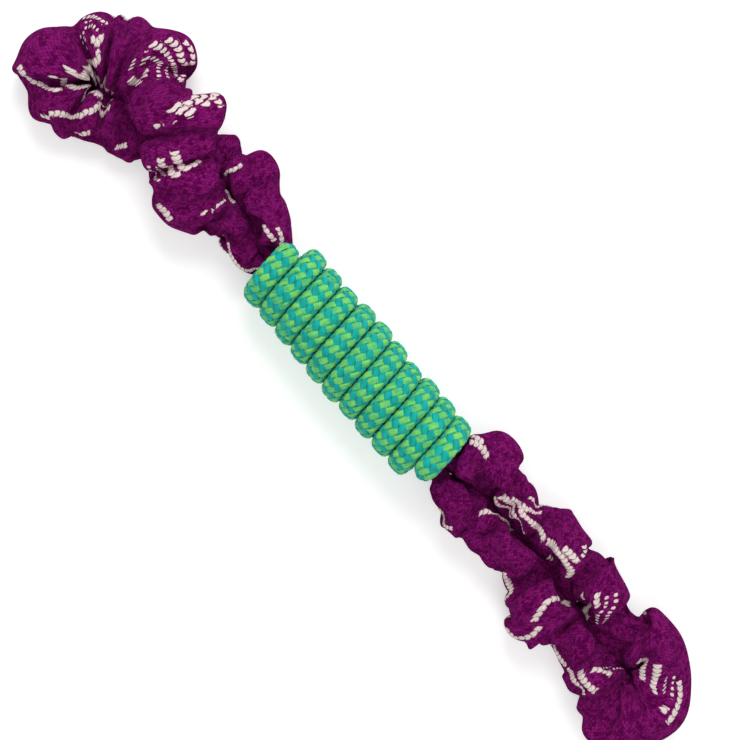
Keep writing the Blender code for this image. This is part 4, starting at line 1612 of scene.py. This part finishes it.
# The grey is painted shade down between the cover's yarns.
COVER_GROOVE_SHADE = (0.34, 0.32, 0.29, 1)
COVER_WHITE = (0.74, 0.72, 0.67, 1)
COVER_SHADE_RANGE = (0.1, 0.8)
COVER_BUMP = (0.8, 0.0003)


def cover_material():
    """A fine white braid, for the cover of the elastic cord, painted darker down between its
    yarns as shade.
    """
    material, tree, shader = new_material("elastic_cover")
    inputs = {"Map": map_of(tree, MAP_NAME), "Stitches": 1.0}
    height = place_group(tree, WOOLLY_WEAVE, inputs)["Height"]
    finish = {
        # Darker where the braid lies low: painted shade.
        "Base Color": mixed(tree, ranged(tree, height, *COVER_SHADE_RANGE), COVER_GROOVE_SHADE, COVER_WHITE),
        "Normal": bumped(tree, height, *COVER_BUMP),
        "Roughness": 0.6,
        "Specular IOR Level": 0.4,
    }
    fill_inputs(tree, shader, finish)
    return material


ELASTIC_COVER = cover_material()


def elastic_run(name, points, side, up):
    rings = swept_rings(points, side, up, BUNGEE_RADIUS, BUNGEE_RADIUS, ELASTIC_SIDES)
    stitches = places_along(points) * COVER_YARNS / (2 * math.pi * BUNGEE_RADIUS)
    return link(name, tube_mesh(name, rings, COVER_YARNS, stitches), ELASTIC_COVER)


def elastic_piece(end, number):
    part, half = PARTS[number][:2]
    first, last = (CLOTHS[end][0][cut] for cut in CUTS[end][number : number + 2])
    count = max(2, round((last - first) / ELASTIC_STEP) + 1)
    line = LINES[end].at(np.linspace(first, last, count))
    piece = elastic_run(part_name("elastic", part, end, half), line.points, line.side, line.up)
    return fitted(piece, end, number, "bungee")


ELASTICS = [elastic_piece(end, number) for end in "ab" for number in range(len(PARTS))]
print(len(ELASTICS), "pieces of elastic cord")

# %% [markdown]
# ## What the grip hides
# Under the wound cord two runs of the sleeve lie side by side, drawn tight on the elastic.
# One run is where the sleeve's two cut ends are sewn together, and where the elastic cord's
# two ends are held by a tight whipping of thread. The drawn cloth is pleated lengthwise, and
# each thread is a real coil, so a cut-away or a print shows how such a toy is made.

# %% Pleated runs and thread coils
SEAM_MIDDLE = GRIP_MIDDLE - 0.0220
SEAM_LENGTH = 0.0080
WHIPPING_MIDDLE = GRIP_MIDDLE + 0.0160
WHIPPING_LENGTH = 0.0140
DRAWN_IN = 0.00055
PLEATS = 9
PLEAT_DEPTH = 0.0004
PLEAT_TWIST = 30
PLEAT_STEP = 0.0010
SEAM_MARGIN = 0.0010
RUN_SIDES = 72
RUN_STEP = 0.0040
THREAD_RADIUS = 0.00022
THREAD_STEPS = 14
THREAD_SIDES = 5


def straight_line(start, end, side, step=RUN_STEP):
    count = max(2, round((end - start) / step) + 1)
    x = np.linspace(start, end, count)
    points = np.column_stack([x, np.full(count, side), np.full(count, RUN_HEIGHT)])
    across, up = (np.tile(axis, (count, 1)) for axis in ((0.0, 1.0, 0.0), (0.0, 0.0, 1.0)))
    return points, across, up


def held_in_grip(piece, node):
    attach(piece, "grip")
    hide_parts(node)


def pleated_run(name, start, end, side, node):
    """Cloth drawn tight on the elastic cord, and tighter still at the sewn seam."""
    points, across, up = straight_line(start, end, side, PLEAT_STEP)
    near_seam = np.abs(points[:, 0] - SEAM_MIDDLE) < SEAM_LENGTH / 2 + SEAM_MARGIN
    radius = RUN_RADIUS - np.where(near_seam & (side < 0), DRAWN_IN, 0.0)
    turn = (points[:, 0] - start) * PLEAT_TWIST
    angles = PLEATS * angles_round(RUN_SIDES)[None] / 2 + turn[:, None]
    wave = PLEAT_DEPTH * np.abs(np.sin(angles))
    rings = swept_rings(points, across, up, 1.0, 1.0, RUN_SIDES) - points[:, None, :]
    rings = points[:, None, :] + rings * (radius[:, None] - PLEAT_DEPTH + wave)[:, :, None]
    stitches = (points[:, 0] - start) * CLOTH_SLACK / STITCH_LENGTH
    mesh = tube_mesh(name, rings, WALES, stitches, closed=False)
    piece = link(name, mesh, PURPLE_SLEEVE)
    walled(piece, RUN_RADIUS - BUNGEE_RADIUS - PLEAT_DEPTH - DRAWN_IN - CLEARANCE)
    held_in_grip(piece, node)


def covered_elastic(name, start, end, side, node):
    held_in_grip(elastic_run(name, *straight_line(start, end, side)), node)


WAXED_THREAD = yarn_material(
    "waxed_thread", (0.50, 0.47, 0.42), (0.74, 0.71, 0.66), relief=0.00004, roughness=0.55
)


def thread_coil(name, middle, length, radius, node):
    """Thread wound side by side on the run that holds the joins."""
    turns = round(length / (2 * THREAD_RADIUS)) - 1
    share = np.linspace(0, 1, turns * THREAD_STEPS + 1)
    angles = 2 * math.pi * turns * share
    x = middle + (share - 0.5) * (length - 2 * THREAD_RADIUS)
    spoke = np.column_stack([np.zeros(len(x)), np.cos(angles), np.sin(angles)])
    middle_line = np.column_stack([x, np.full(len(x), -RUN_SIDE), np.full(len(x), RUN_HEIGHT)])
    points = middle_line + radius * spoke
    side = np.cross(unit(np.gradient(points, axis=0)), spoke)
    rings = swept_rings(points, side, spoke, THREAD_RADIUS, THREAD_RADIUS, THREAD_SIDES)
    mesh = tube_mesh(name, rings, 1.0, places_along(points) / (2 * THREAD_RADIUS))
    held_in_grip(link(name, mesh, WAXED_THREAD), node)
    print(name, "has", turns, "turns of thread")


START, END = GRIP_MIDDLE - RUN_END, GRIP_MIDDLE + RUN_END
for make, piece, middle, node in (
    (pleated_run, "cloth", SEAM_MIDDLE, "sleeve"),
    (covered_elastic, "elastic", WHIPPING_MIDDLE, "bungee"),
):
    make(f"{piece}_in_grip_back", START, END, RUN_SIDE, f"{node}_inside_grip")
    make(f"{piece}_in_grip_front_a", START, middle, -RUN_SIDE, f"{node}_end_a_inside_grip")
    make(f"{piece}_in_grip_front_b", middle, END, -RUN_SIDE, f"{node}_end_b_inside_grip")
SEAM_RADIUS = RUN_RADIUS - THREAD_RADIUS
WHIPPING_RADIUS = BUNGEE_RADIUS + THREAD_RADIUS
thread_coil("seam_thread", SEAM_MIDDLE, SEAM_LENGTH, SEAM_RADIUS, "sleeve_seam_thread")
thread_coil(
    "whipping_thread", WHIPPING_MIDDLE, WHIPPING_LENGTH, WHIPPING_RADIUS, "bungee_whipping"
)

# %% [markdown]
# ## Floor and light
# The toy was photographed from above on white, in soft light from all round with a little
# more from one side. Two broad lamps above and a pale world give that. The floor is pale too,
# so that it keeps a faint shadow. Far from the toy it glows up to plain white, as the world
# does wherever the camera looks past the floor, so its edge doesn't show.

# %% Floor, lamps and world
FLOOR_SIDE = 3.0
FLOOR_GREYS = ((0.93, 0.93, 0.93, 1), (0.96, 0.96, 0.96, 1))
FLOOR_GLOW = 0.35
FLOOR_FADES = (0.40, 0.90)
WORLD_STRENGTH = 0.48
LAMPS = (
    ((-0.55, 0.75, 1.00), 0.9, 10.0),
    ((0.70, -0.50, 1.10), 0.9, 4.5),
)


def pale_floor():
    shell = bmesh.new()
    bmesh.ops.create_grid(shell, x_segments=1, y_segments=1, size=FLOOR_SIDE / 2)
    material, tree, shader = new_material("pale_floor")
    place = own_place(tree)
    seen = add_node(tree, "ShaderNodeLightPath").outputs["Is Camera Ray"]
    far = add_node(tree, "ShaderNodeVectorMath", {0: place}, operation="LENGTH").outputs["Value"]
    finish = {
        "Base Color": mixed(tree, noise(tree, place, 3.0, 2.0), *FLOOR_GREYS),
        "Emission Strength": times(tree, seen, ranged(tree, far, *FLOOR_FADES, FLOOR_GLOW, 1.0)),
        "Emission Color": (1, 1, 1, 1),
        "Roughness": 0.9,
        "Specular IOR Level": 0.1,
    }
    fill_inputs(tree, shader, finish)
    link("floor", mesh_from(shell, "floor"), material)


def soft_lamp(number, place, size, watts):
    data = bpy.data.lights.new(f"soft_lamp_{number}", "AREA")
    data.shape = "DISK"
    data.size = size
    data.energy = watts
    lamp = bpy.data.objects.new(data.name, data)
    bpy.context.scene.collection.objects.link(lamp)
    lamp.location = place
    lamp.rotation_euler = (-Vector(place)).to_track_quat("-Z", "Y").to_euler()


def white_world():
    world = bpy.data.worlds.new("white")
    bpy.context.scene.world = world
    world.use_nodes = True
    tree = world.node_tree
    rays = add_node(tree, "ShaderNodeLightPath").outputs
    seen = maths(tree, "MAXIMUM", rays["Is Camera Ray"], rays["Is Glossy Ray"])
    seen = maths(tree, "MAXIMUM", seen, rays["Is Transmission Ray"])
    strength = maths(tree, "MULTIPLY_ADD", seen, 1 - WORLD_STRENGTH, WORLD_STRENGTH)
    background = {"Color": (1, 1, 1, 1), "Strength": strength}
    fill_inputs(tree, tree.nodes["Background"], background)


pale_floor()
for number, lamp in enumerate(LAMPS):
    soft_lamp(number, *lamp)
white_world()
bpy.context.scene.view_settings.view_transform = "Standard"
print("lamps:", len(LAMPS))
